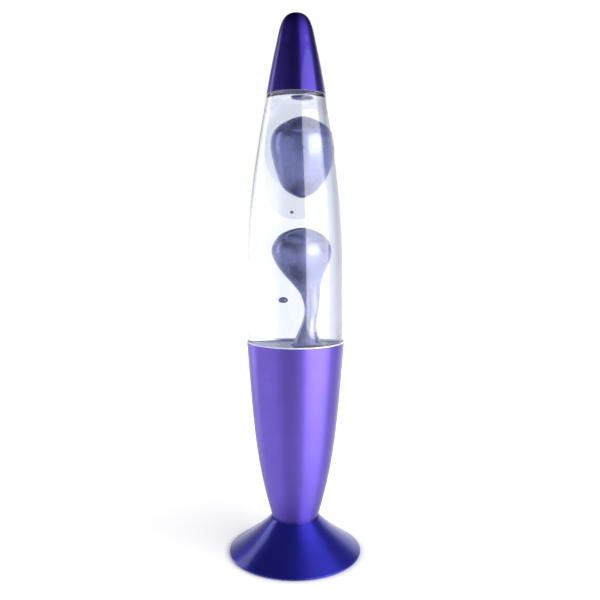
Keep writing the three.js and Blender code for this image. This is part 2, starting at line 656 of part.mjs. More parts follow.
function bulbContact() {
  return turned([at(0, BULB_TIP), at(1.6, BULB_TIP + 0.4), at(2.3, BULB_TIP + 1.3),
    at(0, BULB_TIP + 1.3)], 16);
}

function bulbInsulator() {
  return turned([at(0, BULB_TIP + 1.6), at(2.8, BULB_TIP + 1.6), at(5.2, capBottom - GAP),
    at(0, capBottom - GAP)], 16);
}

function bulbScrewCap() {
  const collar = capTop - 1.8;
  const wall = threadWall(SCREW_RADIUS, threadBottom, threadTop);
  return turned([at(2.5, capBottom), at(SCREW_RADIUS - SCREW_DEPTH, capBottom), ...wall,
    at(SCREW_RADIUS, collar), at(collarRadius, capTop), at(collarRadius - 0.8, capTop),
    at(capInside, collar - 0.4),
    at(capInside, capBottom + 0.6), at(2.5, capBottom + 0.6), at(2.5, capBottom)],
  SIDES_THREAD, thread(SCREW_RADIUS, threadBottom, threadTop));
}

// reflector envelope: neck tube in the cap, cone, wide shallow front
function bulbGlass() {
  const wall = 0.8;
  const neck = capInside - GAP;
  const belly = BULB_TOP - BULB_RADIUS * 0.56;
  const outside = [at(neck, capTop - 5.5), at(neck, capTop + GAP), at(collarRadius, capTop + GAP + 0.1),
    ...curve(at(collarRadius + 0.4, capTop + 2), at(collarRadius + 1.4, capTop + 12),
      at(BULB_RADIUS, belly - 12), at(BULB_RADIUS, belly), 4),
    ...curve(at(BULB_RADIUS, belly), at(BULB_RADIUS, belly + 6.2), at(BULB_RADIUS * 0.6, BULB_TOP),
      at(0, BULB_TOP), 4).slice(1)];
  const inside = inward(outside, wall);
  inside[0] = at(neck - wall, capTop - 5.5);
  inside[1] = at(neck - wall, capTop + GAP);
  inside[2] = at(neck - wall, capTop + GAP + 1.4);
  inside[inside.length - 1] = at(0, BULB_TOP - wall);
  return turned([...outside, ...inside.toReversed(), outside[0]], SIDES_THREAD);
}

const stemTop = capTop + BULB_LENGTH * 0.3;

function bulbStem() {
  const foot = capTop - 5;
  return turned([at(0, foot), at(2.6, foot), at(1.8, foot + 4), at(1.4, stemTop - 3),
    at(1.9, stemTop - 1.5), at(1.4, stemTop), at(0, stemTop)], 12);
}

// two lead wires and the filament bowed between them
function bulbFilament() {
  const bow = new THREE.CatmullRomCurve3([-1, -0.85, -0.45, 0, 0.45, 0.85, 1].map((part) =>
    new THREE.Vector3(part * 8, 0, stemTop + 8 - Math.abs(part) ** 6 * 7.2)));
  const section = new THREE.Shape();
  section.absarc(0, 0, 0.35, 0, 2 * Math.PI);
  return solid(new THREE.ExtrudeGeometry(section,
    { extrudePath: bow, steps: 16, curveSegments: 2 }));
}

add('bulb_contact', bulbContact(), '#b5b7ba', 0.4, 0.9);
add('bulb_insulator', bulbInsulator(), '#17171b', 0.15, 0);
add('bulb_screw_cap', bulbScrewCap(), '#c9ccd1', 0.3, 0.95);
add('bulb_glass', bulbGlass(), '#dfe3e8', 0.15, 0.2);
add('bulb_stem', bulbStem(), '#dfe6ea', 0.1, 0);
add('bulb_filament', bulbFilament(), '#6f6f72', 0.5, 0.8);

export default group;
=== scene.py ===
# Lava lamp, 406 mm tall: lacquered spun aluminium foot, cup and cap round a glass bottle of
# clear liquid and wax, with the lampholder and reflector bulb that warm it from below.
# Outlines are in millimetres as (radius, height), upward round the lamp's own axis, Z.
import math
from functools import lru_cache

import bmesh
import bpy
from mathutils import Matrix, Vector, noise


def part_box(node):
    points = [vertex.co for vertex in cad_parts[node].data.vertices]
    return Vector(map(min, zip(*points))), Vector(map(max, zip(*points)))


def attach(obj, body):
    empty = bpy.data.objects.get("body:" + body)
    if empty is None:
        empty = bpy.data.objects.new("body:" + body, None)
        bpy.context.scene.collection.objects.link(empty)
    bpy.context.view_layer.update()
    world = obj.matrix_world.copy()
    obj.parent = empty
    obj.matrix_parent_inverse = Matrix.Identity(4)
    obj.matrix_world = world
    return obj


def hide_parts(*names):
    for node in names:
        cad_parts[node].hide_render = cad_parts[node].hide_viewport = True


bl_info = {
    "name": "Lava Lamp",
    "version": (1, 0, 0),
    "blender": (4, 5, 0),
    "location": "3D View > Sidebar > Lamp",
    "description": "Makes the pieces of a lava lamp, its finishes and a plain studio",
    "category": "Object",
}

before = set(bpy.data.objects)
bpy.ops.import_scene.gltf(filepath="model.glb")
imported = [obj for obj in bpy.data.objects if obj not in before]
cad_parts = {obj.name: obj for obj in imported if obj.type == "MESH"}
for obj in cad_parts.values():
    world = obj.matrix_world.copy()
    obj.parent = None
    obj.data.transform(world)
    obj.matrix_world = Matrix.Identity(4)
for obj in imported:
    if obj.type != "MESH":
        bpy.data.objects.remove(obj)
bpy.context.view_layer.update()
MM = 0.001


@lru_cache(maxsize=None)
def box(node):
    """Low and high corner of a frame node, in millimetres."""
    return [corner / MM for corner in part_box(node)]


def low(node):
    """Lowest point of a frame node, in millimetres."""
    return box(node)[0].z


def top(node):
    """Highest point of a frame node, in millimetres."""
    return box(node)[1].z


def reach(node):
    """How far a frame node reaches from the axis along X, in millimetres."""
    return box(node)[1].x


def middle_of(node):
    """Middle of a frame node, in millimetres."""
    return (box(node)[0] + box(node)[1]) / 2


def half_of(node):
    """Half of a frame node's width, depth and height, in millimetres."""
    return (box(node)[1] - box(node)[0]) / 2


# ---------------------------------------------------------------- settings
def length(name, description, millimetres):
    """A size the user may change, held in metres."""
    return bpy.props.FloatProperty(name=name, description=description, min=0,
                                   default=millimetres * MM, precision=5,
                                   subtype="DISTANCE", unit="LENGTH")


def colour(name, description, code):
    """A colour the user may change."""
    return bpy.props.FloatVectorProperty(name=name, description=description, size=3,
                                         min=0, max=1, subtype="COLOR",
                                         default=linear(code))


def linear(code):
    """An sRGB colour such as '8a8cbd' as linear light."""
    parts = [int(code[i:i + 2], 16) / 255 for i in (0, 2, 4)]
    return tuple(c / 12.92 if c <= 0.04045 else ((c + 0.055) / 1.055) ** 2.4 for c in parts)


class LampSizes(bpy.types.PropertyGroup):
    """Sizes of the lamp's main pieces."""
    foot_radius: length("Foot Radius", "Outer edge of the foot's hem", reach("foot_skirt"))
    foot_height: length("Foot Height", "Table to the top of the collar", top("foot_skirt"))
    collar_radius: length("Collar Radius", "Outside of the foot's collar, at the waist", 18.35)
    sheet: length("Sheet", "Spun aluminium of foot, cup and cap", 1.0)
    cup_rim_radius: length("Cup Rim Radius", "Outside of the cup's rim", reach("cup_shell"))
    glass: length("Glass", "Wall of the bottle", 2.2)
    belly_radius: length("Belly Radius", "Bottle at its widest", reach("glass_bottle"))
    shoulder_radius: length("Shoulder Radius", "Bottle under the cap's rim", 21.8)
    neck_radius: length("Neck Radius", "Outside of the bottle's neck", 12.4)
    cap_rim_radius: length("Cap Rim Radius", "Outside of the cap's rim", reach("cap_shell"))
    cap_dome: length("Cap Dome", "Height of the cap's rounded top", 22.0)


class LampColours(bpy.types.PropertyGroup):
    """Colours of the lamp's finishes."""
    foot: colour("Foot", "Lacquer of the foot", "2f2fb2")
    cup: colour("Cup", "Lacquer of the cup", "745fd0")
    cap: colour("Cap", "Lacquer of the cap", "3d3092")
    wax: colour("Wax", "Pearly wax", "8589b9")
    liquid: colour("Liquid", "Tint of the liquid", "eceffc")


def size(name):
    """One of the lamp's sizes, in millimetres."""
    return getattr(bpy.context.scene.lamp_sizes, name) / MM


def tint(name):
    """One of the lamp's colours, ready for a shader."""
    return (*getattr(bpy.context.scene.lamp_colours, name), 1)


# ---------------------------------------------------------------- outlines
ROUND = 128          # facets round a piece that shows
SMALL_ROUND = 64     # facets round a fitting
GAP = 0.3            # clearance between touching pieces
CORNER_STEPS = 4     # facets round a softened corner
SHARP = 32           # degrees between faces from which an edge stays sharp


def curve(start, pull1, pull2, end, steps):
    """Points along a curve with two pulls between its ends."""
    points = []
    for i in range(steps + 1):
        t = i / steps
        share = ((1 - t) ** 3, 3 * t * (1 - t) ** 2, 3 * t * t * (1 - t), t ** 3)
        points.append(tuple(sum(s * p[k] for s, p in zip(share, (start, pull1, pull2, end)))
                            for k in (0, 1)))
    return points


def inward(outline, distance):
    """An upward outline moved toward the axis."""
    moved = []
    for i, (radius, height) in enumerate(outline):
        before, after = outline[max(i - 1, 0)], outline[min(i + 1, len(outline) - 1)]
        along = Vector((after[0] - before[0], after[1] - before[1])).normalized()
        if radius == 0:
            moved.append((0, height + math.copysign(distance, along.x)))
        else:
            moved.append((radius - along.y * distance, height + along.x * distance))
    return moved


def radius_at(outline, height):
    """Radius of an upward outline at a height."""
    for (r0, z0), (r1, z1) in zip(outline, outline[1:]):
        if height <= z1:
            return r0 + (r1 - r0) * (height - z0) / (z1 - z0)
    return outline[-1][0]


def softened(outline, loop):
    """Rounds each corner that carries a third number, its radius."""
    points = []
    count = len(outline)
    for i, corner in enumerate(outline):
        here = Vector(corner[:2])
        if len(corner) < 3 or (not loop and i in (0, count - 1)):
            points.append(tuple(here))
            continue
        back = Vector(outline[i - 1][:2]) - here
        ahead = Vector(outline[(i + 1) % count][:2]) - here
        half = back.angle(ahead) / 2
        cut = min(corner[2] / math.tan(half), 0.48 * back.length, 0.48 * ahead.length)
        start, end = here + back.normalized() * cut, here + ahead.normalized() * cut
        for step in range(CORNER_STEPS + 1):
            t = step / CORNER_STEPS
            points.append(tuple(start * (1 - t) ** 2 + here * 2 * t * (1 - t) + end * t * t))
    return points


# ---------------------------------------------------------------- meshes
def placed(name, data):
    """Adds an object to the scene."""
    made = bpy.data.objects.new(name, data)
    bpy.context.scene.collection.objects.link(made)
    return made


def applied(holder):
    """An object's shape as a plain mesh. The object is removed."""
    bpy.context.view_layer.update()
    ready = holder.evaluated_get(bpy.context.evaluated_depsgraph_get())
    mesh = bpy.data.meshes.new_from_object(ready)
    bpy.data.objects.remove(holder)
    return mesh


def smoothed(mesh, sharp=SHARP):
    """Smooths a mesh except at edges sharper than an angle."""
    mesh.shade_smooth()
    mesh.set_sharp_from_angle(angle=math.radians(sharp))
    return mesh


def closed_up(mesh, merge=1e-4):
    """Joins points closer than a distance in millimetres and turns all faces outward."""
    form = bmesh.new()
    form.from_mesh(mesh)
    bmesh.ops.remove_doubles(form, verts=form.verts, dist=merge * MM)
    bmesh.ops.recalc_face_normals(form, faces=form.faces)
    form.to_mesh(mesh)
    form.free()
    return mesh


def mesh_of(name, vertices, faces, sharp=SHARP):
    """A mesh in metres from points in millimetres."""
    mesh = bpy.data.meshes.new(name)
    mesh.from_pydata([[c * MM for c in v] for v in vertices], [], faces)
    return smoothed(closed_up(mesh), sharp)


def turned(name, outline, sides=ROUND, bend=None, sharp=SHARP):
    """An outline turned round the axis. It starts and ends on the axis or closes on itself.
    bend, if given, moves each point."""
    loop = outline[0][0] > 0
    points = softened(outline, loop)
    vertices, rows, faces = [], [], []
    for radius, height in points:
        if radius < 1e-6:
            rows.append([len(vertices)] * sides)
            vertices.append((0, 0, height))
            continue
        rows.append(list(range(len(vertices), len(vertices) + sides)))
        for i in range(sides):
            way = 2 * math.pi * i / sides
            vertices.append((radius * math.cos(way), radius * math.sin(way), height))
    pairs = list(zip(rows, rows[1:])) + ([(rows[-1], rows[0])] if loop else [])
    for a, b in pairs:
        for i in range(sides):
            j = (i + 1) % sides
            face = list(dict.fromkeys((a[i], a[j], b[j], b[i])))
            if len(face) > 2:
                faces.append(face)
    if bend:
        vertices = [bend(*v) for v in vertices]
    return mesh_of(name, vertices, faces, sharp)


def plate(name, outlines, bottom, thickness, edge=0.12):
    """A flat plate with a rounded edge. The first outline is its outside, the rest are holes,
    each a list of (x, y)."""
    data = bpy.data.curves.new(name, "CURVE")
    data.dimensions, data.fill_mode = "2D", "BOTH"
    for outline in outlines:
        line = data.splines.new("POLY")
        line.points.add(len(outline) - 1)
        for point, (x, y) in zip(line.points, outline):
            point.co = (x * MM, y * MM, 0, 1)
        line.use_cyclic_u = True
    data.extrude, data.bevel_depth = (thickness / 2 - edge) * MM, edge * MM
    data.bevel_resolution, data.offset = 2, -edge * MM
    mesh = applied(placed(name, data))
    mesh.transform(Matrix.Translation((0, 0, (bottom + thickness / 2) * MM)))
    return smoothed(closed_up(mesh, 2e-4), 40)


def circle(radius, sides=SMALL_ROUND, x=0, y=0):
    """Points round a circle."""
    return [(x + radius * math.cos(2 * math.pi * i / sides),
             y + radius * math.sin(2 * math.pi * i / sides)) for i in range(sides)]


def turned_about(points, way):
    """Flat points turned about the axis."""
    cos, sin = math.cos(way), math.sin(way)
    return [(x * cos - y * sin, x * sin + y * cos) for x, y in points]


def swept(name, path, radius, sides):
    """A round wire along a path, thinner at its ends."""
    rows, vertices, faces = [], [], []
    last = len(path) - 1
    normal = None
    for i, here in enumerate(path):
        before, after = path[max(i - 1, 0)], path[min(i + 1, last)]
        along = (after - before).normalized()
        if normal is None:
            normal = along.orthogonal().normalized()
        normal = (normal - along * normal.dot(along)).normalized()
        side = along.cross(normal)
        thin = 0.45 if i in (0, last) else 1
        rows.append(list(range(len(vertices), len(vertices) + sides)))
        for k in range(sides):
            way = 2 * math.pi * k / sides
            vertices.append(here + (normal * math.cos(way) + side * math.sin(way)) * radius * thin)
    for a, b in zip(rows, rows[1:]):
        for k in range(sides):
            j = (k + 1) % sides
            faces.append((a[k], a[j], b[j], b[k]))
    faces += [rows[0][::-1], rows[-1]]
    return mesh_of(name, vertices, faces, 50)


def cut(mesh, *tools):
    """The mesh less each tool."""
    body = placed("cut_body", mesh)
    cutters = [placed("cut_tool", tool) for tool in tools]
    for cutter in cutters:
        change = body.modifiers.new("cut", "BOOLEAN")
        change.operation, change.object, change.solver = "DIFFERENCE", cutter, "EXACT"
    result = smoothed(applied(body))
    for cutter in cutters:
        bpy.data.objects.remove(cutter)
    return result


def rod(radius, start, end, sides=SMALL_ROUND):
    """A cutting rod between two points."""
    start, end = Vector(start), Vector(end)
    mesh = turned("rod", [(0, 0), (radius, 0), (radius, (end - start).length),
                          (0, (end - start).length)], sides)
    turn = (end - start).to_track_quat("Z", "Y").to_matrix().to_4x4()
    mesh.transform(Matrix.Translation(start * MM) @ turn)
    return mesh


def block(width, depth, height, centre):
    """A cutting block."""
    x, y, z = centre
    corner = math.sqrt(0.5)
    return turned("block", [(0, -height / 2), (corner, -height / 2), (corner, height / 2),
                            (0, height / 2)], 4,
                  lambda px, py, pz: ((px - py) * corner * width + x,
                                      (px + py) * corner * depth + y, pz + z))


def piece(name, mesh, body, slot, materials, *nodes):
    """Adds a finished piece: what it rides on, its finish and the frame nodes it stands for."""
    old = bpy.data.objects.get(name)
    if old:
        bpy.data.objects.remove(old)
    made = placed(name, mesh)
    for finish in materials if isinstance(materials, list) else [materials]:
        mesh.materials.append(finish)
    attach(made, body)
    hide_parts(*nodes)


def inside_faces(mesh, is_inside, index=1):
    """Gives another finish to the faces whose middle passes a test, by its radius and height
    and by how far the face looks outward and up."""
    for face in mesh.polygons:
        radius = math.hypot(face.center.x, face.center.y)
        outward = 0
        if radius > 1e-9:
            outward = (face.normal.x * face.center.x + face.normal.y * face.center.y) / radius
        if is_inside(radius / MM, face.center.z / MM, outward, face.normal.z):
            face.material_index = index


# ---------------------------------------------------------------- finishes
def add(tree, kind, links=None, output=0, stops=(), **settings):
    """Adds a node and gives one of its outputs, if it has any. links holds a value or a
    socket by input, stops each position and grey or colour of a ramp."""
    made = tree.nodes.new(kind)
    for name, value in settings.items():
        setattr(made, name, value)
    for name, value in (links or {}).items():
        if isinstance(value, bpy.types.NodeSocket):
            tree.links.new(value, made.inputs[name])
        else:
            made.inputs[name].default_value = value
    if stops:
        steps = made.color_ramp.elements
        steps.remove(steps[1])
    for i, (position, shown) in enumerate(stops):
        step = steps[0] if i == 0 else steps.new(position)
        step.position = position
        step.color = (*shown, 1) if isinstance(shown, tuple) else (shown, shown, shown, 1)
    return made.outputs[output] if made.outputs else None


def opaque(code):
    """A colour code as a shader colour."""
    return (*linear(code), 1)


def shade(base, factor):
    """A colour made darker or lighter."""
    return tuple(min(part * factor, 1) for part in base[:3]) + (1,)


def material(name, shader, build, cover=None):
    """A material with a Principled shader. build(tree) gives sockets or values by input.
    cover(tree, surface), if given, gives what is seen in place of that shader alone."""
    made = bpy.data.materials.get(name) or bpy.data.materials.new(name)
    made.use_nodes = True
    tree = made.node_tree
    tree.nodes.clear()
    surface = add(tree, "ShaderNodeBsdfPrincipled", {**shader, **build(tree)})
    if cover:
        surface = cover(tree, surface)
    add(tree, "ShaderNodeOutputMaterial", {"Surface": surface})
    return made


def spun_place(tree):
    """Radius and height of a spot. Rings left by a spinning tool are straight lines here."""
    spot = add(tree, "ShaderNodeTexCoord", None, "Object")
    flat = add(tree, "ShaderNodeVectorMath", {0: spot, 1: (1, 1, 0)}, operation="MULTIPLY")
    radius = add(tree, "ShaderNodeVectorMath", {0: flat}, "Value", operation="LENGTH")
    height = add(tree, "ShaderNodeSeparateXYZ", {0: spot}, "Z")
    return add(tree, "ShaderNodeCombineXYZ", {"X": radius, "Y": height})


def grained(name, dark, pale, grain, clouds, roughness, relief, spun=False, **shader):
    """A finish with grain of a size and relief in millimetres, gloss that follows the grain
    between two roughnesses, and colour that drifts between two codes in clouds of a size."""
    def build(tree):
        spot = spun_place(tree) if spun else add(tree, "ShaderNodeTexCoord", None, "Object")
        fine = add(tree, "ShaderNodeTexNoise",
                   {"Vector": spot, "Scale": 1 / (grain * MM), "Detail": 4.0})
        cloud = add(tree, "ShaderNodeTexNoise",
                    {"Vector": spot, "Scale": 1 / (clouds * MM), "Detail": 4.0})
        share = add(tree, "ShaderNodeMapRange", {0: cloud, 1: 0.35, 2: 0.65})
        return {
            "Base Color": add(tree, "ShaderNodeMix", {0: share, 6: opaque(dark),
                                                      7: opaque(pale)}, 2, data_type="RGBA"),
            "Roughness": add(tree, "ShaderNodeMapRange", {0: fine, 1: 0.3, 2: 0.7,
                                                          3: roughness[0], 4: roughness[1]}),
            "Normal": add(tree, "ShaderNodeBump", {"Height": fine, "Distance": relief * MM}),
        }
    return material(name, {key.replace("_", " ").title().replace("Ior", "IOR"): value
                           for key, value in shader.items()}, build)


def lacquered_aluminium(name, base, roughness, coat, coat_roughness, edge_glint_height, metal=1.0):
    """Transparent coloured lacquer sprayed over spun aluminium. The eye sees the metal's own
    shine through colour, drawn out across the fine rings left by the spinning tool, and slight
    cloudiness in the spray. A speckled band along the edge, at the height given, is a lighter
    copy of the lacquer: a painted highlight line."""
    def build(tree):
        spot = add(tree, "ShaderNodeTexCoord", None, "Object")
        # tool rings are about 0.4 mm apart; drawn at 1.1 mm, or they would not show.
        # The spray clouds over 26 mm, its gloss drifts over 9 mm, specks of painted highlight are
        # 2.2 mm.
        lines = add(tree, "ShaderNodeTexNoise", {"Vector": spun_place(tree),
                                                 "Scale": 1 / (1.1 * MM), "Detail": 2.0,
                                                 "Roughness": 0.6})
        cloud = add(tree, "ShaderNodeTexNoise",
                    {"Vector": spot, "Scale": 1 / (26 * MM), "Detail": 3.0})
        haze = add(tree, "ShaderNodeTexNoise",
                   {"Vector": spot, "Scale": 1 / (9 * MM), "Detail": 5.0})
        speck = add(tree, "ShaderNodeTexNoise",
                    {"Vector": spot, "Scale": 1 / (2.2 * MM), "Detail": 6.0})
        cloud = add(tree, "ShaderNodeMapRange", {0: cloud, 1: 0.3, 2: 0.7})
        ringed = add(tree, "ShaderNodeMapRange", {0: lines, 1: 0.35, 2: 0.7, 4: 0.25})
        # painted highlight: in a speckled band along the edge, at the height given, the lacquer
        # takes a lighter copy of its own colour
        height = add(tree, "ShaderNodeSeparateXYZ", {0: spot}, "Z")
        near = add(tree, "ShaderNodeMath", {0: height, 1: edge_glint_height * MM}, operation="SUBTRACT")
        near = add(tree, "ShaderNodeMath", {0: near}, operation="ABSOLUTE")
        near = add(tree, "ShaderNodeMapRange", {0: near, 1: 0.2 * MM, 2: 1.1 * MM, 3: 1, 4: 0})
        speck = add(tree, "ShaderNodeMapRange", {0: speck, 1: 0.55, 2: 0.66})
        painted_edge_glint = add(tree, "ShaderNodeMath", {0: near, 1: speck}, operation="MULTIPLY")
        colour_now = shade(base, 0.93)
        # clouds and tool rings are the lacquer's own tone; the last, lighter mix is the painted
        # highlight along the edge
        for share, other in ((cloud, 1.06), (ringed, 0.82), (painted_edge_glint, 1.7)):
            colour_now = add(tree, "ShaderNodeMix", {0: share, 6: colour_now,
                                                     7: shade(base, other)}, 2,
                             data_type="RGBA")
        return {
            "Base Color": colour_now,
            "Roughness": add(tree, "ShaderNodeMapRange", {0: haze, 1: 0.3, 2: 0.7,
                                                          3: roughness - 0.03,
                                                          4: roughness + 0.03}),
            "Normal": add(tree, "ShaderNodeBump", {"Height": lines, "Distance": 0.012 * MM}),
        }
    return material(name, {"Metallic": metal, "Coat Weight": coat, "Coat IOR": 1.5,
                           "Coat Roughness": coat_roughness, "Anisotropic": 0.75,
                           "Anisotropic Rotation": 0.25}, build)


def clear_solid(name, base, ior, wave=0, depth=0):
    """Glass or liquid: bends what is behind it and shines at its edges. Lamps shine through
    it. Its skin may wave a little, as blown glass does, wave and depth in millimetres."""
    def build(tree):
        if not depth:
            return {}
        spot = add(tree, "ShaderNodeTexCoord", None, "Object")
        waves = add(tree, "ShaderNodeTexNoise",
                    {"Vector": spot, "Scale": 1 / (wave * MM), "Detail": 1.0})
        return {"Normal": add(tree, "ShaderNodeBump",
                              {"Height": waves, "Distance": depth * MM})}

    def open_to_lamps(tree, surface):
        to_lamp = add(tree, "ShaderNodeLightPath", None, "Is Shadow Ray")
        clear = add(tree, "ShaderNodeBsdfTransparent", {"Color": base})
        return add(tree, "ShaderNodeMixShader", {0: to_lamp, 1: surface, 2: clear})

    return material(name, {"Base Color": base, "IOR": ior, "Roughness": 0,
                           "Transmission Weight": 1}, build, open_to_lamps)


def pearly_wax(base):
    """Paraffin wax with pearl pigment, melted and set again and again: a satin, almost
    metallic skin with slow swirls where the pigment has settled."""
    def build(tree):
        spot = add(tree, "ShaderNodeTexCoord", None, "Object")
        tall = add(tree, "ShaderNodeVectorMath", {0: spot, 1: (1, 1, 0.45)},
                   operation="MULTIPLY")
        bend = add(tree, "ShaderNodeTexNoise", {"Vector": tall, "Scale": 1 / (14 * MM)}, "Color")
        swirl = add(tree, "ShaderNodeVectorMath", {0: bend, 1: (6 * MM,) * 3, 2: tall},
                    operation="MULTIPLY_ADD")
        flow = add(tree, "ShaderNodeTexNoise",
                   {"Vector": swirl, "Scale": 1 / (9 * MM), "Detail": 3.0})
        skin = add(tree, "ShaderNodeTexNoise",
                   {"Vector": spot, "Scale": 1 / (3.5 * MM), "Detail": 2.0})
        share = add(tree, "ShaderNodeMapRange", {0: flow, 1: 0.35, 2: 0.65})
        return {
            "Base Color": add(tree, "ShaderNodeMix", {0: share, 6: shade(base, 0.9),
                                                      7: shade(base, 1.08)}, 2,
                              data_type="RGBA"),
            "Roughness": add(tree, "ShaderNodeMapRange", {0: flow, 1: 0.3, 2: 0.7,
                                                          3: 0.24, 4: 0.32}),
            "Normal": add(tree, "ShaderNodeBump", {"Height": skin, "Distance": 0.02 * MM}),
        }
    return material("pearly_paraffin_wax", {"Metallic": 0.85, "IOR": 1.44}, build)


def bare_aluminium():
    """Spun aluminium as it leaves the lathe: pale grey with fine rings and a soft shine. It is
    the inside of foot and cup."""
    return grained("bare_spun_aluminium", "d9dadd", "f1f2f4", 0.8, 0.8, (0.24, 0.34), 0.015,
                   spun=True, metallic=1.0)


def trimmed_edge():
    """Rim of the cup where the lathe has trimmed lacquer and metal: bright, burred fine enough
    to scatter light, so that it stands out as a white line."""
    return grained("trimmed_aluminium_edge", "e9eaee", "fbfbfd", 0.9, 0.9, (0.3, 0.42), 0.015,
                   metallic=0.3)


def white_primer():
    """White primer sprayed inside the cap: chalky and a little grainy. It lightens the ring
    of glass just under the cap's rim."""
    return grained("white_sprayed_primer", "e6e7ee", "f8f8fb", 0.7, 4, (0.5, 0.62), 0.02)


def rubber():
    """Moulded black rubber: matt, faintly speckled."""
    return grained("moulded_black_rubber", "161618", "222225", 0.6, 5, (0.69, 0.81), 0.03,
                   ior=1.52)


def zinc_steel():
    """Pressed mild steel, bright zinc plated: grey with a cloudy spangle."""
    return grained("zinc_plated_steel", "8d929a", "b4b8be", 1.2, 7, (0.26, 0.42), 0.02,
                   metallic=1.0)


def brass():
    """Rolled brass, unlacquered: warm yellow, browned in patches."""
    return grained("rolled_brass", "a3823f", "d2b25a", 1.0, 6, (0.21, 0.37), 0.02,
                   metallic=1.0)


# ---------------------------------------------------------------- foot
HEM_BOTTOM = 0.4     # hem above the table
HEM_RISE = 1.2
HEM_WIDTH = 6
PLATE_THICK = 1.2    # steel plate held by the hem
PAD_RADIUS = 4.2
PAD_STEM = 1.8
CORD_RADIUS = 2.9    # cord the inlet is made for
INLET_HEIGHT = 9.5
TUBE_RADIUS = 5
TUBE_BORE = 4


def foot_outline(steps=40):
    """Outside of the foot from hem to collar."""
    collar, height = size("collar_radius"), size("foot_height")
    span = size("foot_radius") - collar
    return curve((size("foot_radius"), HEM_BOTTOM + HEM_RISE),
                 (collar + span * 0.5, height * 0.484), (collar + span * 0.383, height * 0.552),
                 (collar, height), steps)


def plate_top():
    """Top of the foot's flat middle, where the cup stands."""
    return top("foot_skirt") - 0.8


def foot_skirt_mesh():
    radius, sheet, collar = size("foot_radius"), size("sheet"), size("collar_radius")
    outside = foot_outline()
    hem, inside_hem = HEM_BOTTOM + sheet, radius - HEM_WIDTH
    under = [p for p in inward(outside, sheet)
             if p[1] < plate_top() - 2 * sheet and p[0] < radius - 2 * sheet]
    plate_under = plate_top() - sheet
    hole = TUBE_RADIUS + GAP
    lip = collar - 0.7
    mesh = turned("foot", [
        (hole, plate_top(), 0.1), (lip - 0.25, plate_top(), 0.3),
        (lip, size("foot_height"), 0.2), (collar, size("foot_height"), 0.3),
        *outside[::-1][1:-1],
        (radius, HEM_BOTTOM + HEM_RISE, 0.35), (radius, HEM_BOTTOM, 0.5),
        (inside_hem, HEM_BOTTOM, 0.3), (inside_hem, hem, 0.3),
        (radius - sheet * 1.6, hem), *under,
        (collar - sheet, plate_under, 0.8), (hole, plate_under, 0.1)])
    sleeve = CORD_RADIUS + 1.1 + 2 * GAP
    mesh = cut(mesh, rod(sleeve, (0, radius * 0.3, INLET_HEIGHT),
                         (0, radius * 1.2, INLET_HEIGHT)))
    flat = plate_top() - 0.4
    inside_faces(mesh, lambda r, z, out, rise: r < lip - 0.5
                 or z < hem + 0.1 and rise < -0.5 and r < radius - 0.8
                 or HEM_BOTTOM + 0.8 < z < flat and r < radius_at(outside, z) - sheet * 0.5)
    return mesh


def grommet_mesh():
    """A soft sleeve with a flange each side of the foot's sheet, curved to lie on it."""
    sheet = size("sheet")
    wall = foot_outline()
    bore, sleeve, flange = CORD_RADIUS + 0.2, CORD_RADIUS + 1.1, CORD_RADIUS + 2.5
    outer, inner = GAP + 1, -sheet - GAP - 1
    outline = softened([(bore, inner, 0.25), (flange, inner, 0.5), (flange, inner + 1, 0.3),
                        (sleeve, inner + 1), (sleeve, outer - 1), (flange, outer - 1, 0.3),
                        (flange, outer, 0.6), (bore, outer, 0.35)], True)
    sides = SMALL_ROUND
    vertices, faces = [], []
    for distance, depth in outline:
        for i in range(sides):
            way = 2 * math.pi * i / sides
            x, z = distance * math.cos(way), INLET_HEIGHT + distance * math.sin(way)
            radius = radius_at(wall, z) + depth * 1.2
            vertices.append((x, math.sqrt(radius ** 2 - x ** 2), z))
    rows = len(outline)
    for row in range(rows):
        for i in range(sides):
            a, b = row * sides, (row + 1) % rows * sides
            j = (i + 1) % sides
            faces.append((a + i, a + j, b + j, b + i))
    return mesh_of("grommet", vertices, faces)


def base_plate_mesh():
    """Pressed steel plate with a middle hole, vents and a hole for each rubber foot."""
    inside_hem = size("foot_radius") - HEM_WIDTH
    pads = inside_hem - PAD_RADIUS - 0.6
    hole, vent_middle = 14, (14 + pads) / 2 - 2
    outlines = [circle(inside_hem + 1, ROUND), circle(hole)]
    for angle in (45, 135, 225, 315):
        way = math.radians(angle)
        outlines.append(circle(PAD_STEM + GAP, 24, pads * math.cos(way), pads * math.sin(way)))
    for vent in range(12):
        slot = [(vent_middle + side * (3.3 + 1.2 * math.cos(math.radians(a))),
                 side * 1.2 * math.sin(math.radians(a)))
                for side in (1, -1) for a in range(-90, 91, 20)]
        outlines.append(turned_about(slot, (vent + 0.5) * math.pi / 6))
    return plate("base_plate", outlines, low("base_plate"), PLATE_THICK)


def rubber_foot_mesh(node):
    x, y = middle_of(node)[:2]
    stem_top = top("base_plate") + GAP
    pad = low("base_plate") - GAP
    return turned("rubber_foot", [
        (0, 0.25), (1.2, 0.25), (1.5, 0), (PAD_RADIUS, 0, 0.4), (PAD_RADIUS, pad, 0.25),
        (PAD_STEM, pad), (PAD_STEM, stem_top), (PAD_STEM + 0.8, stem_top, 0.2),
        (PAD_STEM, stem_top + 1.2, 0.4), (0, stem_top + 1.2)], 48,
        lambda px, py, pz: (px + x, py + y, pz))


# ---------------------------------------------------------------- cup
def cup_wall(steps=60):
    """Outside of the cup from its foot to its rim."""
    low_edge, rim = low("cup_shell"), top("cup_shell")
    floor_radius = size("collar_radius") - 1.0
    span, rise = size("cup_rim_radius") - floor_radius, rim - low_edge
    return curve((floor_radius + 0.4, low_edge + 1.6),
                 (floor_radius + span * 0.69, low_edge + rise * 0.33),
                 (floor_radius + span * 0.77, low_edge + rise * 0.58),
                 (size("cup_rim_radius"), rim), steps)


BARE = 0.8           # trimmed edge of the rim, left without lacquer


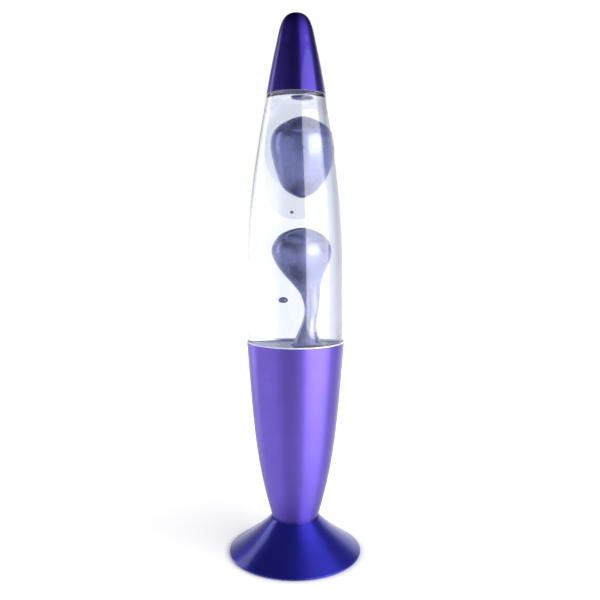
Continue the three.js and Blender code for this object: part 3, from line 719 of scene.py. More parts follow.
def cup_mesh():
    sheet, floor, rim = size("sheet"), low("cup_shell"), top("cup_shell")
    wall = cup_wall()
    inside = inward(wall, sheet)
    floor_radius, hole = size("collar_radius") - 1.0, TUBE_RADIUS + GAP
    mesh = turned("cup", [
        (hole, floor, 0.1), (floor_radius, floor, 0.5), (floor_radius, floor + 1, 0.3),
        *wall[:-1], (radius_at(wall, rim - BARE), rim - BARE), (wall[-1][0], rim, 0.3),
        (inside[-1][0], rim, 0.3), *inside[::-1][1:],
        (floor_radius - sheet, floor + sheet, 0.3), (hole, floor + sheet, 0.1)])
    inside_faces(mesh, lambda r, z, out, rise: r < floor_radius - 1.5
                 or r < radius_at(wall, z) - sheet * 0.6 and z > floor + 0.5)
    inside_faces(mesh, lambda r, z, out, rise: z > rim - BARE, 2)
    return mesh


# ---------------------------------------------------------------- bottle
MOUTH_RISE = 24      # mouth above the shoulder
NECK_RISE = 13.92    # foot of the straight neck above the shoulder
BELLY_RISE = 12.9    # widest place above the cup's rim
BASE_CORNER = 8      # rounding at the bottle's base
LOOSE = 1.2          # play between bottle and cup at the base
MENISCUS = 0.5       # how far the liquid climbs up the glass


def bottle_body():
    """Outside of the bottle from the middle of its base to its shoulder."""
    bottom, rim, shoulder = low("glass_bottle"), top("cup_shell"), shoulder_height()
    wall = cup_wall()

    def in_cup(height):
        return (radius_at(wall, height) - size("sheet") - GAP
                - LOOSE * (rim - height) / (rim - bottom))

    corner, corner_top = BASE_CORNER, bottom + BASE_CORNER
    base = in_cup(corner_top)
    belly, belly_height = size("belly_radius"), rim + BELLY_RISE
    rise = shoulder - belly_height
    steps = 8
    return [(0, bottom + 2.2), (base * 0.25, bottom + 2.0), (base * 0.45, bottom + 1.3),
            (base * 0.6, bottom + 0.25),
            *curve((base - corner, bottom), (base - corner * 0.4, bottom),
                   (base, bottom + corner * 0.5), (base, corner_top), 10),
            *[(in_cup(corner_top + (rim - corner_top) * i / steps),
               corner_top + (rim - corner_top) * i / steps) for i in range(1, steps)],
            *curve((in_cup(rim), rim), (in_cup(rim) + 0.55, rim + 4),
                   (belly, rim + 7), (belly, belly_height), 8)[:-1],
            *curve((belly, belly_height), (belly, belly_height + rise * 0.448),
                   (belly * 0.919, belly_height + rise * 0.62),
                   (size("shoulder_radius"), shoulder - 0.8), 40)]


def shoulder_height():
    """Height of the bottle's shoulder, just under the cap."""
    return top("glass_bottle") - MOUTH_RISE


def bottle_neck():
    shoulder = shoulder_height()
    inside_cap = size("cap_rim_radius") - size("sheet") - 0.5
    neck, foot = size("neck_radius"), shoulder + NECK_RISE
    return curve((inside_cap, shoulder), (inside_cap - 1.5, shoulder + 6),
                 (neck, foot - 7), (neck, foot), 16)


def bottle_wall():
    """Outside of body and neck, with a small step in for the cap's rim."""
    step = (size("shoulder_radius") - 0.2, shoulder_height() - 0.2)
    return bottle_body() + [step] + bottle_neck()


def bottle_inside(depth):
    """Body and neck moved inward by a depth, running smoothly past the step."""
    shoulder = shoulder_height()
    return [p for p in inward(bottle_wall(), depth)
            if not shoulder - 6 < p[1] < shoulder + 5.5]


def bottle_mesh():
    glass, mouth = size("glass"), top("glass_bottle")
    wall = bottle_wall()
    neck_foot = wall[-1][1]
    bore, bead = size("neck_radius") - glass, size("neck_radius") + 0.7
    inside = bottle_inside(glass)
    inside[-1] = (bore, neck_foot)
    return turned("bottle", [
        *wall, (size("neck_radius"), neck_foot + 1.6, 0.5), (bead, neck_foot + 2.6, 0.5),
        (bead, mouth, 1.0), (bore, mouth, 0.8), *inside[::-1]], sharp=60)


def liquid_mesh():
    """All that fills the bottle under the liquid's surface, wax included. Its skin lies a
    little inside the glass wall, so that light passes from glass to liquid without air."""
    level = top("clear_liquid")
    wall = bottle_inside(size("glass") - 0.05)
    below = [p for p in wall if p[1] < level - 1.2]
    edge = radius_at(wall[4:], level)
    climb = radius_at(wall[4:], level + MENISCUS)
    return turned("liquid", [
        *below, (climb, level + MENISCUS), (climb - 0.5, level + 0.12),
        (climb - 1.2, level - 0.2), (edge - 3.2, level - 0.42),
        (edge * 0.5, level - MENISCUS), (0, level - MENISCUS)], sharp=50)


# ---------------------------------------------------------------- wax
def pool_level():
    """Top of the wax pool, just under the cup's rim."""
    return top("cup_shell") - 0.8


def up(part):
    """Height part of the way from the cup's rim to the bottle's shoulder."""
    rim = top("cup_shell")
    return rim + (shoulder_height() - rim) * part


def wide(part):
    """Distance as part of the bottle's widest radius."""
    return size("belly_radius") * part


def smooth_path(points, steps):
    """A smooth line through all points but the first and last, which only steer its ends."""
    path = []
    for i in range(1, len(points) - 2):
        near = points[i - 1:i + 3]
        t0 = 0.0
        t1 = t0 + max((near[1] - near[0]).length, 1e-6) ** 0.5
        t2 = t1 + max((near[2] - near[1]).length, 1e-6) ** 0.5
        t3 = t2 + max((near[3] - near[2]).length, 1e-6) ** 0.5
        for step in range(steps):
            t = t1 + (t2 - t1) * step / steps
            a, b, c = (p + (q - p) * (t - u) / (v - u) for p, q, u, v in
                       zip(near, near[1:], (t0, t1, t2), (t1, t2, t3)))
            d, e = a + (b - a) * (t - t0) / (t2 - t0), b + (c - b) * (t - t1) / (t3 - t1)
            path.append(d + (e - d) * (t - t1) / (t2 - t1))
    path.append(points[-2])
    return path


WOBBLE_SEED = 7      # makes the same uneven wax on every run


def wax_lump_mesh(name, sections, wobble=0.15):
    """A lump of wax from sections of [height, middle in x, half width], listed upward."""
    noise.seed_set(WOBBLE_SEED)
    points = [Vector((half, middle, height)) for height, middle, half in sections]
    first, last = points[1].copy(), points[-2].copy()
    first.x, last.x = -first.x, -last.x
    rows = smooth_path([first, *points, last], 7)
    rows[0].x = rows[-1].x = 0
    outline = [(max(row.x, 0), row.z) for row in rows]
    middles = {round(row.z, 6): row.y for row in rows}

    def bend(x, y, z):
        middle = middles[round(z, 6)]
        spot = Vector((x, y, z)) / 11
        push = noise.noise_vector(spot) * wobble
        return x + middle + push.x, y + push.y, z + push.z * 0.5

    return turned(name, outline, 96, bend, 180)


def column_sections():
    pool = pool_level()
    return [
        [pool - 6, wide(0.18), 0], [pool - 4, wide(0.18), wide(0.3)],
        [pool + 0.4, wide(0.178), wide(0.235)],
        [up(0.03), wide(0.179), wide(0.165)], [up(0.08), wide(0.209), wide(0.114)],
        [up(0.135), wide(0.244), wide(0.112)], [up(0.2), wide(0.222), wide(0.155)],
        [up(0.24), wide(0.168), wide(0.22)], [up(0.287), wide(0.117), wide(0.33)],
        [up(0.337), wide(0.095), wide(0.428)], [up(0.373), wide(0.088), wide(0.457)],
        [up(0.415), wide(0.092), wide(0.404)], [up(0.444), wide(0.09), wide(0.295)],
        [up(0.466), wide(0.095), 0],
    ]


def upper_sections():
    return [
        [up(0.583), wide(0.092), 0], [up(0.61), wide(0.08), wide(0.225)],
        [up(0.645), wide(0.09), wide(0.328)], [up(0.71), wide(0.108), wide(0.428)],
        [up(0.79), wide(0.106), wide(0.485)], [up(0.853), wide(0.108), wide(0.428)],
        [up(0.891), wide(0.108), wide(0.225)], [up(0.907), wide(0.095), 0],
    ]


def wax_pool_mesh():
    """The pool in the bottle's base and the column rising from it, melted into one."""
    level = pool_level()
    wall = bottle_inside(size("glass") + 0.15)
    below = [p for p in wall if p[1] < level - 1.6]
    edge = radius_at(wall[4:], level)
    pool = turned("pool", [*below, (edge, level + 0.5), (edge - 1.0, level),
                           (edge - 3, level - 0.3), (edge * 0.6, level - 0.35),
                           (0, level - 0.35)], 96)
    column = wax_lump_mesh("column", column_sections())
    form = bmesh.new()
    form.from_mesh(pool)
    form.from_mesh(column)
    both = bpy.data.meshes.new("wax")
    form.to_mesh(both)
    form.free()
    body = placed("wax_body", both)
    melt = body.modifiers.new("melt", "REMESH")
    melt.mode, melt.voxel_size, melt.use_smooth_shade = "VOXEL", 0.8 * MM, True
    even = body.modifiers.new("even", "SMOOTH")
    even.factor, even.iterations = 0.5, 6
    mesh = applied(body)
    mesh.shade_smooth()
    return mesh


def wax_drop_mesh(node):
    """A small loose drop, a little flatter below than above."""
    middle, half = middle_of(node), half_of(node)
    outline = [(math.sin(math.pi * i / 24), -math.cos(math.pi * i / 24)) for i in range(25)]
    outline[0], outline[-1] = (0, -1), (0, 1)

    def shape(x, y, z):
        taper = 1 - 0.08 * z
        return (middle.x + x * half.x * 0.96 * taper, middle.y + y * half.y * 0.96 * taper,
                middle.z + z * half.z * 0.97)

    return turned(node, outline, 48, shape, 180)


def floating_wax_mesh():
    """A flat lens of wax under the liquid's surface."""
    middle, half = middle_of("wax_floating"), half_of("wax_floating")
    high, deep = top("wax_floating") - 0.1, low("wax_floating")
    outline = [(0, deep), *curve((half.x * 0.25, deep + 0.1), (half.x * 0.7, deep + 0.5),
                                 (half.x * 0.98, high - 1.0), (half.x, high - 0.35), 12),
               (half.x * 0.96, high - 0.05), (half.x * 0.8, high), (0, high)]

    def shape(x, y, z):
        way = math.atan2(y, x)
        uneven = 1 - 0.04 * (1 + math.cos(2 * way + 0.6)) / 2 - 0.02 * (1 + math.cos(3 * way)) / 2
        return middle.x + x * uneven, middle.y + y * uneven, z

    return turned("floating_wax", outline, 64, shape, 60)


def coil_mesh():
    """Spring wire bent into a ring, lying in the wax on the bottle's base."""
    wire, turn_radius, turns = 0.5, 2.6, 17
    ring = half_of("wire_coil").x - turn_radius - wire
    height = middle_of("wire_coil").z
    path = []
    steps = turns * 20
    for i in range(steps + 1):
        way = (0.01 + 0.98 * i / steps) * 2 * math.pi
        radius = ring + turn_radius * math.cos(way * turns)
        path.append(Vector((radius * math.cos(way), radius * math.sin(way),
                            height + turn_radius * math.sin(way * turns))))
    return swept("coil", path, wire, 10)


# ---------------------------------------------------------------- crown closure and cap
def crown_mesh():
    """Pressed crown closure: a disc whose skirt is crimped into 21 flutes."""
    high, deep = top("crown_cap"), low("crown_cap")
    thick, flutes = 0.5, 21
    inside = size("neck_radius") + 0.7 + GAP
    skirt = inside + thick
    rise = high - deep

    def flute(x, y, z):
        radius = math.hypot(x, y)
        if radius < inside - 0.5:
            return x, y, z
        depth = 0.45 * min((high - z) / rise, 1)
        scale = 1 + depth * (1 + math.cos(flutes * math.atan2(y, x))) / radius
        return x * scale, y * scale, z

    falls = [high - 2.4 - (rise - 2.4) * i / 6 for i in range(7)]
    return turned("crown", [
        (0, high - 0.25), (skirt - 4.6, high - 0.25), (skirt - 3.9, high),
        (skirt - 1.6, high, 0.4), (skirt - 0.3, high - 0.6, 0.4), *[(skirt, z) for z in falls],
        *[(inside, z) for z in falls[::-1]], (inside - 0.2, high - thick, 0.3),
        (0, high - thick)], flutes * 12, flute)


def liner_mesh():
    bottom, high = low("crown_liner"), top("crown_liner")
    radius = reach("crown_liner")
    return turned("liner", [
        (0, bottom + 0.25), (radius - 3, bottom + 0.25), (radius - 2.4, bottom),
        (radius, bottom, 0.2), (radius, high, 0.2), (0, high)], SMALL_ROUND)


def cap_outline():
    rim, high, radius = low("cap_shell"), top("cap_shell"), size("cap_rim_radius")
    dome = size("cap_dome")
    shoulder, at_shoulder = high - dome, 14.6
    # the cone is very slightly bowed, and runs into the dome without an edge
    side = [(radius + (at_shoulder - radius) * t + 0.28 * math.sin(math.pi * t),
             rim + (shoulder - rim) * t) for t in [i / 16 for i in range(16)]]
    return side + curve((at_shoulder, shoulder), (at_shoulder * 0.79, shoulder + dome * 0.7),
                             (at_shoulder * 0.65, high), (0, high), 28)


def cap_mesh():
    sheet, rim = size("sheet"), low("cap_shell")
    outside = cap_outline()
    inside = inward(outside, sheet)
    mesh = turned("cap", [(0, outside[-1][1] - sheet), *inside[1:-1][::-1],
                          (outside[0][0] - sheet, rim, 0.2), (outside[0][0], rim, 0.45),
                          *outside[1:-1], (0, outside[-1][1])])
    inside_faces(mesh, lambda r, z, out, rise: r < radius_at(outside, z) - sheet * 0.6
                 or z < rim + 0.05 and rise < -0.7)
    return mesh


# ---------------------------------------------------------------- clamp under the foot
def thread(x, y, z, middle, pitch, depth, bottom, high, tolerance=0.02):
    """Moves a point of one wall in and out along a right-hand thread that dies away at both
    ends."""
    radius = math.hypot(x, y)
    if abs(radius - middle) > tolerance or not bottom < z < high:
        return x, y, z
    turn = z / pitch - math.atan2(y, x) / (2 * math.pi)
    fade = min(1, (z - bottom) / (pitch / 2), (high - z) / (pitch / 2))
    scale = (middle + depth * fade * math.cos(2 * math.pi * turn)) / middle
    return x * scale, y * scale, z


def wall_steps(radius, start, end, step):
    """Evenly spaced points along a straight wall."""
    count = max(1, round(abs(end - start) / step))
    return [(radius, start + (end - start) * i / count) for i in range(count + 1)]


def tube_mesh():
    bottom, high = low("threaded_tube"), top("threaded_tube")
    middle = TUBE_RADIUS - 0.22
    return turned("tube", [
        (TUBE_BORE, bottom, 0.15), (middle - 0.3, bottom),
        *wall_steps(middle, bottom + 0.5, high - 0.5, 0.14),
        (middle - 0.3, high), (TUBE_BORE, high, 0.15)], SMALL_ROUND,
        lambda x, y, z: thread(x, y, z, middle, 1.0, 0.22, bottom + 0.5, high - 0.5))


def tag_mesh():
    """Brass earth tag: a ring with a drilled tongue."""
    bottom, reach_now = low("earth_tag"), reach("earth_tag")
    ring, half = TUBE_RADIUS + 2.6, 2.5
    start = math.asin(half / ring)
    outline = [(ring * math.cos(w), ring * math.sin(w))
               for w in [start + (2 * math.pi - 2 * start) * i / 60 for i in range(61)]]
    tip = [(reach_now - half + half * math.cos(w), half * math.sin(w))
           for w in [-math.pi / 2 + math.pi * i / 16 for i in range(17)]]
    return plate("earth_tag", [outline + tip, circle(TUBE_RADIUS + GAP),
                               circle(1.4, 32, reach_now - 2.6)], bottom, 0.8)


def washer_mesh():
    """Toothed lock washer."""
    bottom, ring = low("lock_washer"), TUBE_RADIUS + 3.2
    outline = []
    for i in range(12):
        for share, radius in ((0, ring - 0.75), (0.12, ring - 0.75), (0.2, ring), (0.8, ring),
                              (0.88, ring - 0.75)):
            way = 2 * math.pi * (i + share - 0.06) / 12
            outline.append((radius * math.cos(way), radius * math.sin(way)))
    return plate("lock_washer", [outline, circle(TUBE_RADIUS + GAP)], bottom, 0.8, 0.08)


def nut_mesh():
    """Plain hexagon nut with turned-off corners."""
    bottom, high = low("hex_nut"), top("hex_nut")
    flats = TUBE_RADIUS * 2 + 4
    corner = flats / math.sqrt(3)
    bore = TUBE_RADIUS + GAP

    def shape(x, y, z):
        radius = math.hypot(x, y)
        if radius < bore + 0.6:
            return x, y, z
        way = math.atan2(y, x) % (math.pi / 3) - math.pi / 6
        hexagon = flats / 2 / math.cos(way)
        scale = min(radius, hexagon) / radius
        return x * scale, y * scale, z

    return turned("nut", [
        (bore, bottom + 0.4), (bore + 0.4, bottom), (flats / 2 - 0.3, bottom),
        (corner, bottom + 0.7), *wall_steps(corner, bottom + 0.8, high - 0.8, 0.4),
        (corner, high - 0.7), (flats / 2 - 0.3, high), (bore + 0.4, high), (bore, high - 0.4)],
        96, shape, 25)


# ---------------------------------------------------------------- lampholder
HOLDER_WALL = 1.4
SCREW_PITCH = 2.82
SCREW_RADIUS = 6.55
SCREW_DEPTH = 0.4
SCREW_START = 5      # first turn of the thread above the bulb's contact
SCREW_TURNS = 3.8


def holder_dome_mesh():
    bottom, split = low("holder_dome"), top("holder_dome")
    radius = reach("holder_dome")
    wall, hole = radius - HOLDER_WALL, TUBE_RADIUS + GAP

    def ribs(x, y, z):
        r = math.hypot(x, y)
        if r < radius - 0.05 or not bottom + 11.4 < z < split - 0.9:
            return x, y, z
        scale = 1 - 0.3 * (0.5 + 0.5 * math.cos(36 * math.atan2(y, x))) / r
        return x * scale, y * scale, z

    return turned("holder_dome", [
        (hole, bottom, 0.2), (TUBE_RADIUS + 3, bottom, 0.5), (TUBE_RADIUS + 3, bottom + 2.4, 0.8),
        (radius - 2, bottom + 6, 2), (radius, bottom + 11, 1.0), (radius, bottom + 11.5),
        *wall_steps(radius, bottom + 12.1, split - 1.0, 1.2), (radius, split, 0.3),
        (wall, split, 0.3), (wall, bottom + 11.4, 1), (wall - 2, bottom + 7.6, 1),
        (hole, bottom + 5, 0.3)], 144, ribs)


def holder_skirt_mesh():
    bottom, high = low("holder_skirt"), top("holder_skirt")
    radius, split = reach("holder_skirt"), top("holder_dome") + GAP
    bore, spigot = insert_radius() + GAP, radius - HOLDER_WALL - GAP
    bands = []
    for i in range(3):
        z = split + 3 + i * 1.6
        bands += [(radius, z), (radius - 0.35, z + 0.3), (radius - 0.35, z + 0.8),
                  (radius, z + 1.1)]
    return turned("holder_skirt", [
        (bore, bottom, 0.2), (spigot, bottom, 0.3), (spigot, split), (radius, split, 0.3),
        *bands, (radius, high, 1.0), (bore, high, 0.4)], 96)


def insert_radius():
    return reach("holder_dome") - 2 * HOLDER_WALL - 2 * GAP - 0.2


def shell_radius():
    """Middle of the thread in the holder."""
    return SCREW_RADIUS + 0.45


def insert_mesh():
    floor, radius = low("holder_insert"), insert_radius()
    room = shell_radius() + SCREW_DEPTH + 0.6 + GAP
    return turned("insert", [
        (0, floor), (radius, floor, 0.5), (radius, floor + 10, 0.5), (room, floor + 10, 0.4),
        (room, floor + 2.5, 0.3), (0, floor + 2.5)], 96)


def screw_shell_mesh():
    """Brass shell pressed into a screw thread, the thread showing on both its faces."""
    bottom, high = low("holder_screw_shell"), top("holder_screw_shell")
    inner, outer = shell_radius(), shell_radius() + 0.55
    start = low("bulb_contact") + SCREW_START
    end = start + SCREW_PITCH * SCREW_TURNS

    def shape(x, y, z):
        x, y, z = thread(x, y, z, inner, SCREW_PITCH, SCREW_DEPTH, start, end)
        return thread(x, y, z, outer, SCREW_PITCH, SCREW_DEPTH, start, end)

    return turned("screw_shell", [
        *wall_steps(inner, bottom, high, 0.3), *wall_steps(outer, high, bottom, 0.3)],
        96, shape)


def contact_tongue_mesh():
    """Springy brass strip, bent up under the bulb's tip."""
    bottom = low("holder_centre_contact")
    line = [(-6, 0.0), (-5.4, 0.35), (-3.5, 0.5), (-1, 0.72), (0.6, 0.74), (2, 0.55)]
    thick, half = 0.16, 1.9
    vertices, faces = [], []
    for x, z in line:
        for y, lift in ((-half, 0), (half, 0), (half, thick), (-half, thick)):
            narrow = 0.75 if x in (-6, 2) else 1
            vertices.append((x, y * narrow, bottom + max(z - thick, 0) + lift))
    for i in range(len(line) - 1):
        for k in range(4):
            j = (k + 1) % 4
            faces.append((i * 4 + k, i * 4 + j, i * 4 + 4 + j, i * 4 + 4 + k))
    last = (len(line) - 1) * 4
    faces += [(0, 1, 2, 3), (last + 3, last + 2, last + 1, last)]
    return mesh_of("tongue", vertices, faces, 40)


def terminal_screw_mesh(node):
    middle, head, end = middle_of(node), low(node), top(node)
    screw = turned("screw", [
        (0, head), (1.7, head + 0.05), (2.2, head + 0.6, 0.3), (2.2, head + 2, 0.15),
        (1.25, head + 2), (1.25, end, 0.3), (0, end)], 48)
    screw = cut(screw, block(5, 0.7, 1.6, (0, 0, head)))
    screw.transform(Matrix.Translation((middle.x * MM, middle.y * MM, 0)))
    return screw


# ---------------------------------------------------------------- bulb
def bulb_contact_mesh():
    tip = low("bulb_contact")
    return turned("contact", [(0, tip), (0.9, tip + 0.1), (1.7, tip + 0.45), (2.3, tip + 1.3),
                              (0, tip + 1.3)], 48)


def bulb_insulator_mesh():
    tip, high = low("bulb_insulator"), top("bulb_insulator")
    return turned("insulator", [(0, tip), (2.8, tip, 0.3), (3.6, tip + 0.9, 1), (5.2, high, 0.2),
                                (0, high)], SMALL_ROUND)


def bulb_cap_mesh():
    bottom, high = low("bulb_screw_cap"), top("bulb_screw_cap")
    start = low("bulb_contact") + SCREW_START
    end, collar = start + SCREW_PITCH * SCREW_TURNS, high - 1.8
    inside, flare = SCREW_RADIUS - SCREW_DEPTH - 0.5, SCREW_RADIUS + 1.65
    return turned("bulb_cap", [
        (2.5, bottom, 0.15), (SCREW_RADIUS - SCREW_DEPTH, bottom, 0.5),
        (SCREW_RADIUS, bottom + 0.6), *wall_steps(SCREW_RADIUS, start - 0.05, end, 0.28),
        (SCREW_RADIUS, collar, 0.3), (flare, high, 0.2), (flare - 0.8, high, 0.2),
        (inside, collar - 0.4), (inside, bottom + 0.6, 0.2), (2.5, bottom + 0.6)],
        96, lambda x, y, z: thread(x, y, z, SCREW_RADIUS, SCREW_PITCH, SCREW_DEPTH, start, end))


def bulb_glass_mesh():
    """Reflector envelope: a neck in the cap, a silvered cone and a wide frosted front."""
    high, radius = top("bulb_glass"), reach("bulb_glass")
    cap_high, wall = top("bulb_screw_cap"), 0.8
    neck, flare = SCREW_RADIUS - SCREW_DEPTH - 0.8, SCREW_RADIUS + 1.65
    belly = high - radius * 0.56
    outside = [(neck, cap_high - 5.5), (neck, cap_high + GAP), (flare, cap_high + GAP + 0.1),
               *curve((flare + 0.4, cap_high + 2), (flare + 1.4, cap_high + 12),
                      (radius, belly - 12), (radius, belly), 24),
               *curve((radius, belly), (radius, belly + 6.2), (radius * 0.6, high),
                      (0, high), 20)[1:]]
    inside = inward(outside, wall)
    inside[0] = (neck - wall, cap_high - 5.5)
    inside[1] = (neck - wall, cap_high + GAP)
    inside[2] = (neck - wall, cap_high + GAP + 1.4)
    inside[-1] = (0, high - wall)
    mesh = turned("bulb", [inside[-1], *inside[:-1][::-1], *outside], 96)
    inside_faces(mesh, lambda r, z, out, rise: z > belly + 0.6)
    return mesh


def stem_mesh():
    """Pressed glass stem that carries the leads."""
    foot, high = low("bulb_stem"), top("bulb_stem")
    return turned("stem", [(0, foot), (2.6, foot, 0.3), (2.2, foot + 1.6), (1.8, foot + 4, 1),
                           (1.4, high - 3, 0.5), (1.9, high - 1.5, 0.6), (1.4, high, 0.4),
                           (0, high)], 48)


def filament_mesh():
    """Fine tungsten wire wound into a spring, bowed between its leads."""
    half = half_of("bulb_filament").x - 0.3
    foot, high = low("bulb_filament") + 0.3, top("bulb_filament") - 0.3
    bow = [Vector((part * half, 0, high - abs(part) ** 6 * (high - foot)))
           for part in [-1 + 2 * i / 40 for i in range(41)]]
    path, turns = [], 44
    for i in range(turns * 8 + 1):
        t = i / (turns * 8) * (len(bow) - 1)
        k = min(int(t), len(bow) - 2)
        here = bow[k].lerp(bow[k + 1], t - k)
        along = (bow[k + 1] - bow[k]).normalized()
        side = along.cross(Vector((0, 1, 0))).normalized()
        way = 2 * math.pi * i / 8
        path.append(here + side * 0.25 * math.cos(way) + Vector((0, 0.25 * math.sin(way), 0)))
    return swept("filament", path, 0.06, 6)


# ---------------------------------------------------------------- operators
class LAMP_OT_foot(bpy.types.Operator):
    """Makes the spun foot with its base plate, rubber feet and cord inlet"""
    bl_idname = "lamp.foot"
    bl_label = "Foot"

    def execute(self, context):
        # the hem's top edge, 1.6 mm up, carries painted highlight specks
        lacquer = lacquered_aluminium(
            "deep_blue_lacquer_on_spun_aluminium", tint("foot"), roughness=0.45, coat=0.7,
            coat_roughness=0.15, edge_glint_height=1.6, metal=0.8)
        piece("spun_foot", foot_skirt_mesh(), "base", "foot_lacquer",
              [lacquer, bare_aluminium()], "foot_skirt")
        piece("inlet_grommet", grommet_mesh(), "base", "rubber", rubber(), "cord_grommet")
        piece("bottom_plate", base_plate_mesh(), "base", "zinc_steel", zinc_steel(),
              "base_plate")
        for i in range(1, 5):
            node = f"rubber_foot_{i}"
            piece(f"pad_{i}", rubber_foot_mesh(node), "base", "rubber", rubber(), node)
        return {"FINISHED"}


class LAMP_OT_cup(bpy.types.Operator):
    """Makes the spun cup with its bare rim"""
    bl_idname = "lamp.cup"
    bl_label = "Cup"

    def execute(self, context):
        # painted highlight specks run just under the bare rim
        lacquer = lacquered_aluminium(
            "violet_satin_lacquer_on_spun_aluminium", tint("cup"), roughness=0.4, coat=0.35,
            coat_roughness=0.3, edge_glint_height=166.3)
        piece("spun_cup", cup_mesh(), "base", "cup_lacquer",
              [lacquer, bare_aluminium(), trimmed_edge()], "cup_shell")
        return {"FINISHED"}


class LAMP_OT_bottle(bpy.types.Operator):
    """Makes the glass bottle and the liquid in it"""
    bl_idname = "lamp.bottle"
    bl_label = "Bottle and Liquid"

    def execute(self, context):
        # soda-lime bottle glass, blown in a mould: clear, faintly uneven
        glass = clear_solid("blown_soda_lime_glass", opaque("fdfeff"), 1.5, 30, 0.02)
        # water with salts and a trace of blue dye: quite clear, bends light a little less
        liquid = clear_solid("tinted_brine", tint("liquid"), 1.35)
        piece("bottle", bottle_mesh(), "bottle", "bottle_glass", glass, "glass_bottle")
        piece("liquid", liquid_mesh(), "bottle", "liquid", liquid, "clear_liquid")
        return {"FINISHED"}


class LAMP_OT_wax(bpy.types.Operator):
    """Makes the wax in the bottle and the wire coil that lies in it"""
    bl_idname = "lamp.wax"
    bl_label = "Wax and Coil"

    def execute(self, context):
        wax = pearly_wax(tint("wax"))
        piece("wax_pool", wax_pool_mesh(), "bottle", "wax", wax, "wax_pool_and_column")
        piece("wax_upper_lump", wax_lump_mesh("upper", upper_sections()), "wax_upper", "wax",
              wax, "wax_lump_upper")
        piece("large_drop", wax_drop_mesh("wax_drop_large"), "drop_large", "wax", wax,
              "wax_drop_large")
        piece("small_drop", wax_drop_mesh("wax_drop_small"), "drop_small", "wax", wax,
              "wax_drop_small")
        piece("floating_lens", floating_wax_mesh(), "bottle", "wax", wax, "wax_floating")
        # stainless spring wire, drawn: bright, lightly scratched along its length
        steel = grained("drawn_spring_steel", "a4a7ab", "c3c5c8", 0.8, 5, (0.18, 0.34), 0.02,
                        metallic=1.0)
        piece("spring_coil", coil_mesh(), "bottle", "coil_steel", steel, "wire_coil")
        return {"FINISHED"}


class LAMP_OT_closure(bpy.types.Operator):
    """Makes the crown closure and its liner"""
    bl_idname = "lamp.closure"
    bl_label = "Crown Closure"

    def execute(self, context):
        # tinplate, pressed: bright, a little streaked where it was crimped
        tin = grained("pressed_tinplate", "abadb2", "cfd2d6", 1.5, 9, (0.15, 0.31), 0.02,
                      metallic=1.0)
        # soft moulded liner: off-white and matt
        soft = grained("moulded_liner", "cbc9c2", "e2e0d9", 0.8, 7, (0.49, 0.61), 0.02)
        piece("crown", crown_mesh(), "bottle", "crown_tinplate", tin, "crown_cap")
        piece("crown_seal", liner_mesh(), "bottle", "liner", soft, "crown_liner")
        return {"FINISHED"}


class LAMP_OT_cap(bpy.types.Operator):
    """Makes the spun cap"""
    bl_idname = "lamp.cap"
    bl_label = "Cap"

    def execute(self, context):
        # painted highlight specks run along the cap's rim
        lacquer = lacquered_aluminium(
            "dark_violet_lacquer_on_spun_aluminium", tint("cap"), roughness=0.4, coat=0.3,
            coat_roughness=0.06, edge_glint_height=347.9)
        piece("spun_cap", cap_mesh(), "cap", "cap_lacquer", [lacquer, white_primer()],
              "cap_shell")
        return {"FINISHED"}


class LAMP_OT_clamp(bpy.types.Operator):
    """Makes the tube, nut, washer and earth tag that hold the lamp together"""
    bl_idname = "lamp.clamp"
    bl_label = "Clamp"

    def execute(self, context):
        piece("clamp_tube", tube_mesh(), "base", "brass", brass(), "threaded_tube")
        piece("earth_lug", tag_mesh(), "base", "brass", brass(), "earth_tag")
        piece("toothed_washer", washer_mesh(), "base", "zinc_steel", zinc_steel(),
              "lock_washer")
        piece("clamp_nut", nut_mesh(), "base", "zinc_steel", zinc_steel(), "hex_nut")
        return {"FINISHED"}


class LAMP_OT_holder(bpy.types.Operator):
    """Makes the lampholder"""
    bl_idname = "lamp.holder"
    bl_label = "Lampholder"

    def execute(self, context):
        # phenolic resin, hot-pressed: near black with a dull shine from the mould
        black = grained("pressed_phenolic", "1a191b", "212022", 0.9, 8, (0.32, 0.44), 0.02,
                        ior=1.58)
        # steatite, pressed, fired and glazed: warm white
        white = grained("glazed_steatite", "dbd5c9", "ece8de", 1.2, 10, (0.34, 0.46), 0.02,
                        ior=1.6, coat_weight=0.3, coat_roughness=0.1)
        piece("holder_cover", holder_dome_mesh(), "base", "black_moulding", black,
              "holder_dome")
        piece("holder_sleeve", holder_skirt_mesh(), "base", "black_moulding", black,
              "holder_skirt")
        piece("holder_core", insert_mesh(), "base", "white_ceramic", white, "holder_insert")
        piece("holder_thread", screw_shell_mesh(), "base", "brass", brass(),
              "holder_screw_shell")
        piece("contact_spring", contact_tongue_mesh(), "base", "brass", brass(),
              "holder_centre_contact")
        for i in (1, 2):
            node = f"terminal_screw_{i}"
            piece(f"wire_screw_{i}", terminal_screw_mesh(node), "base", "zinc_steel",
                  zinc_steel(), node)
        return {"FINISHED"}


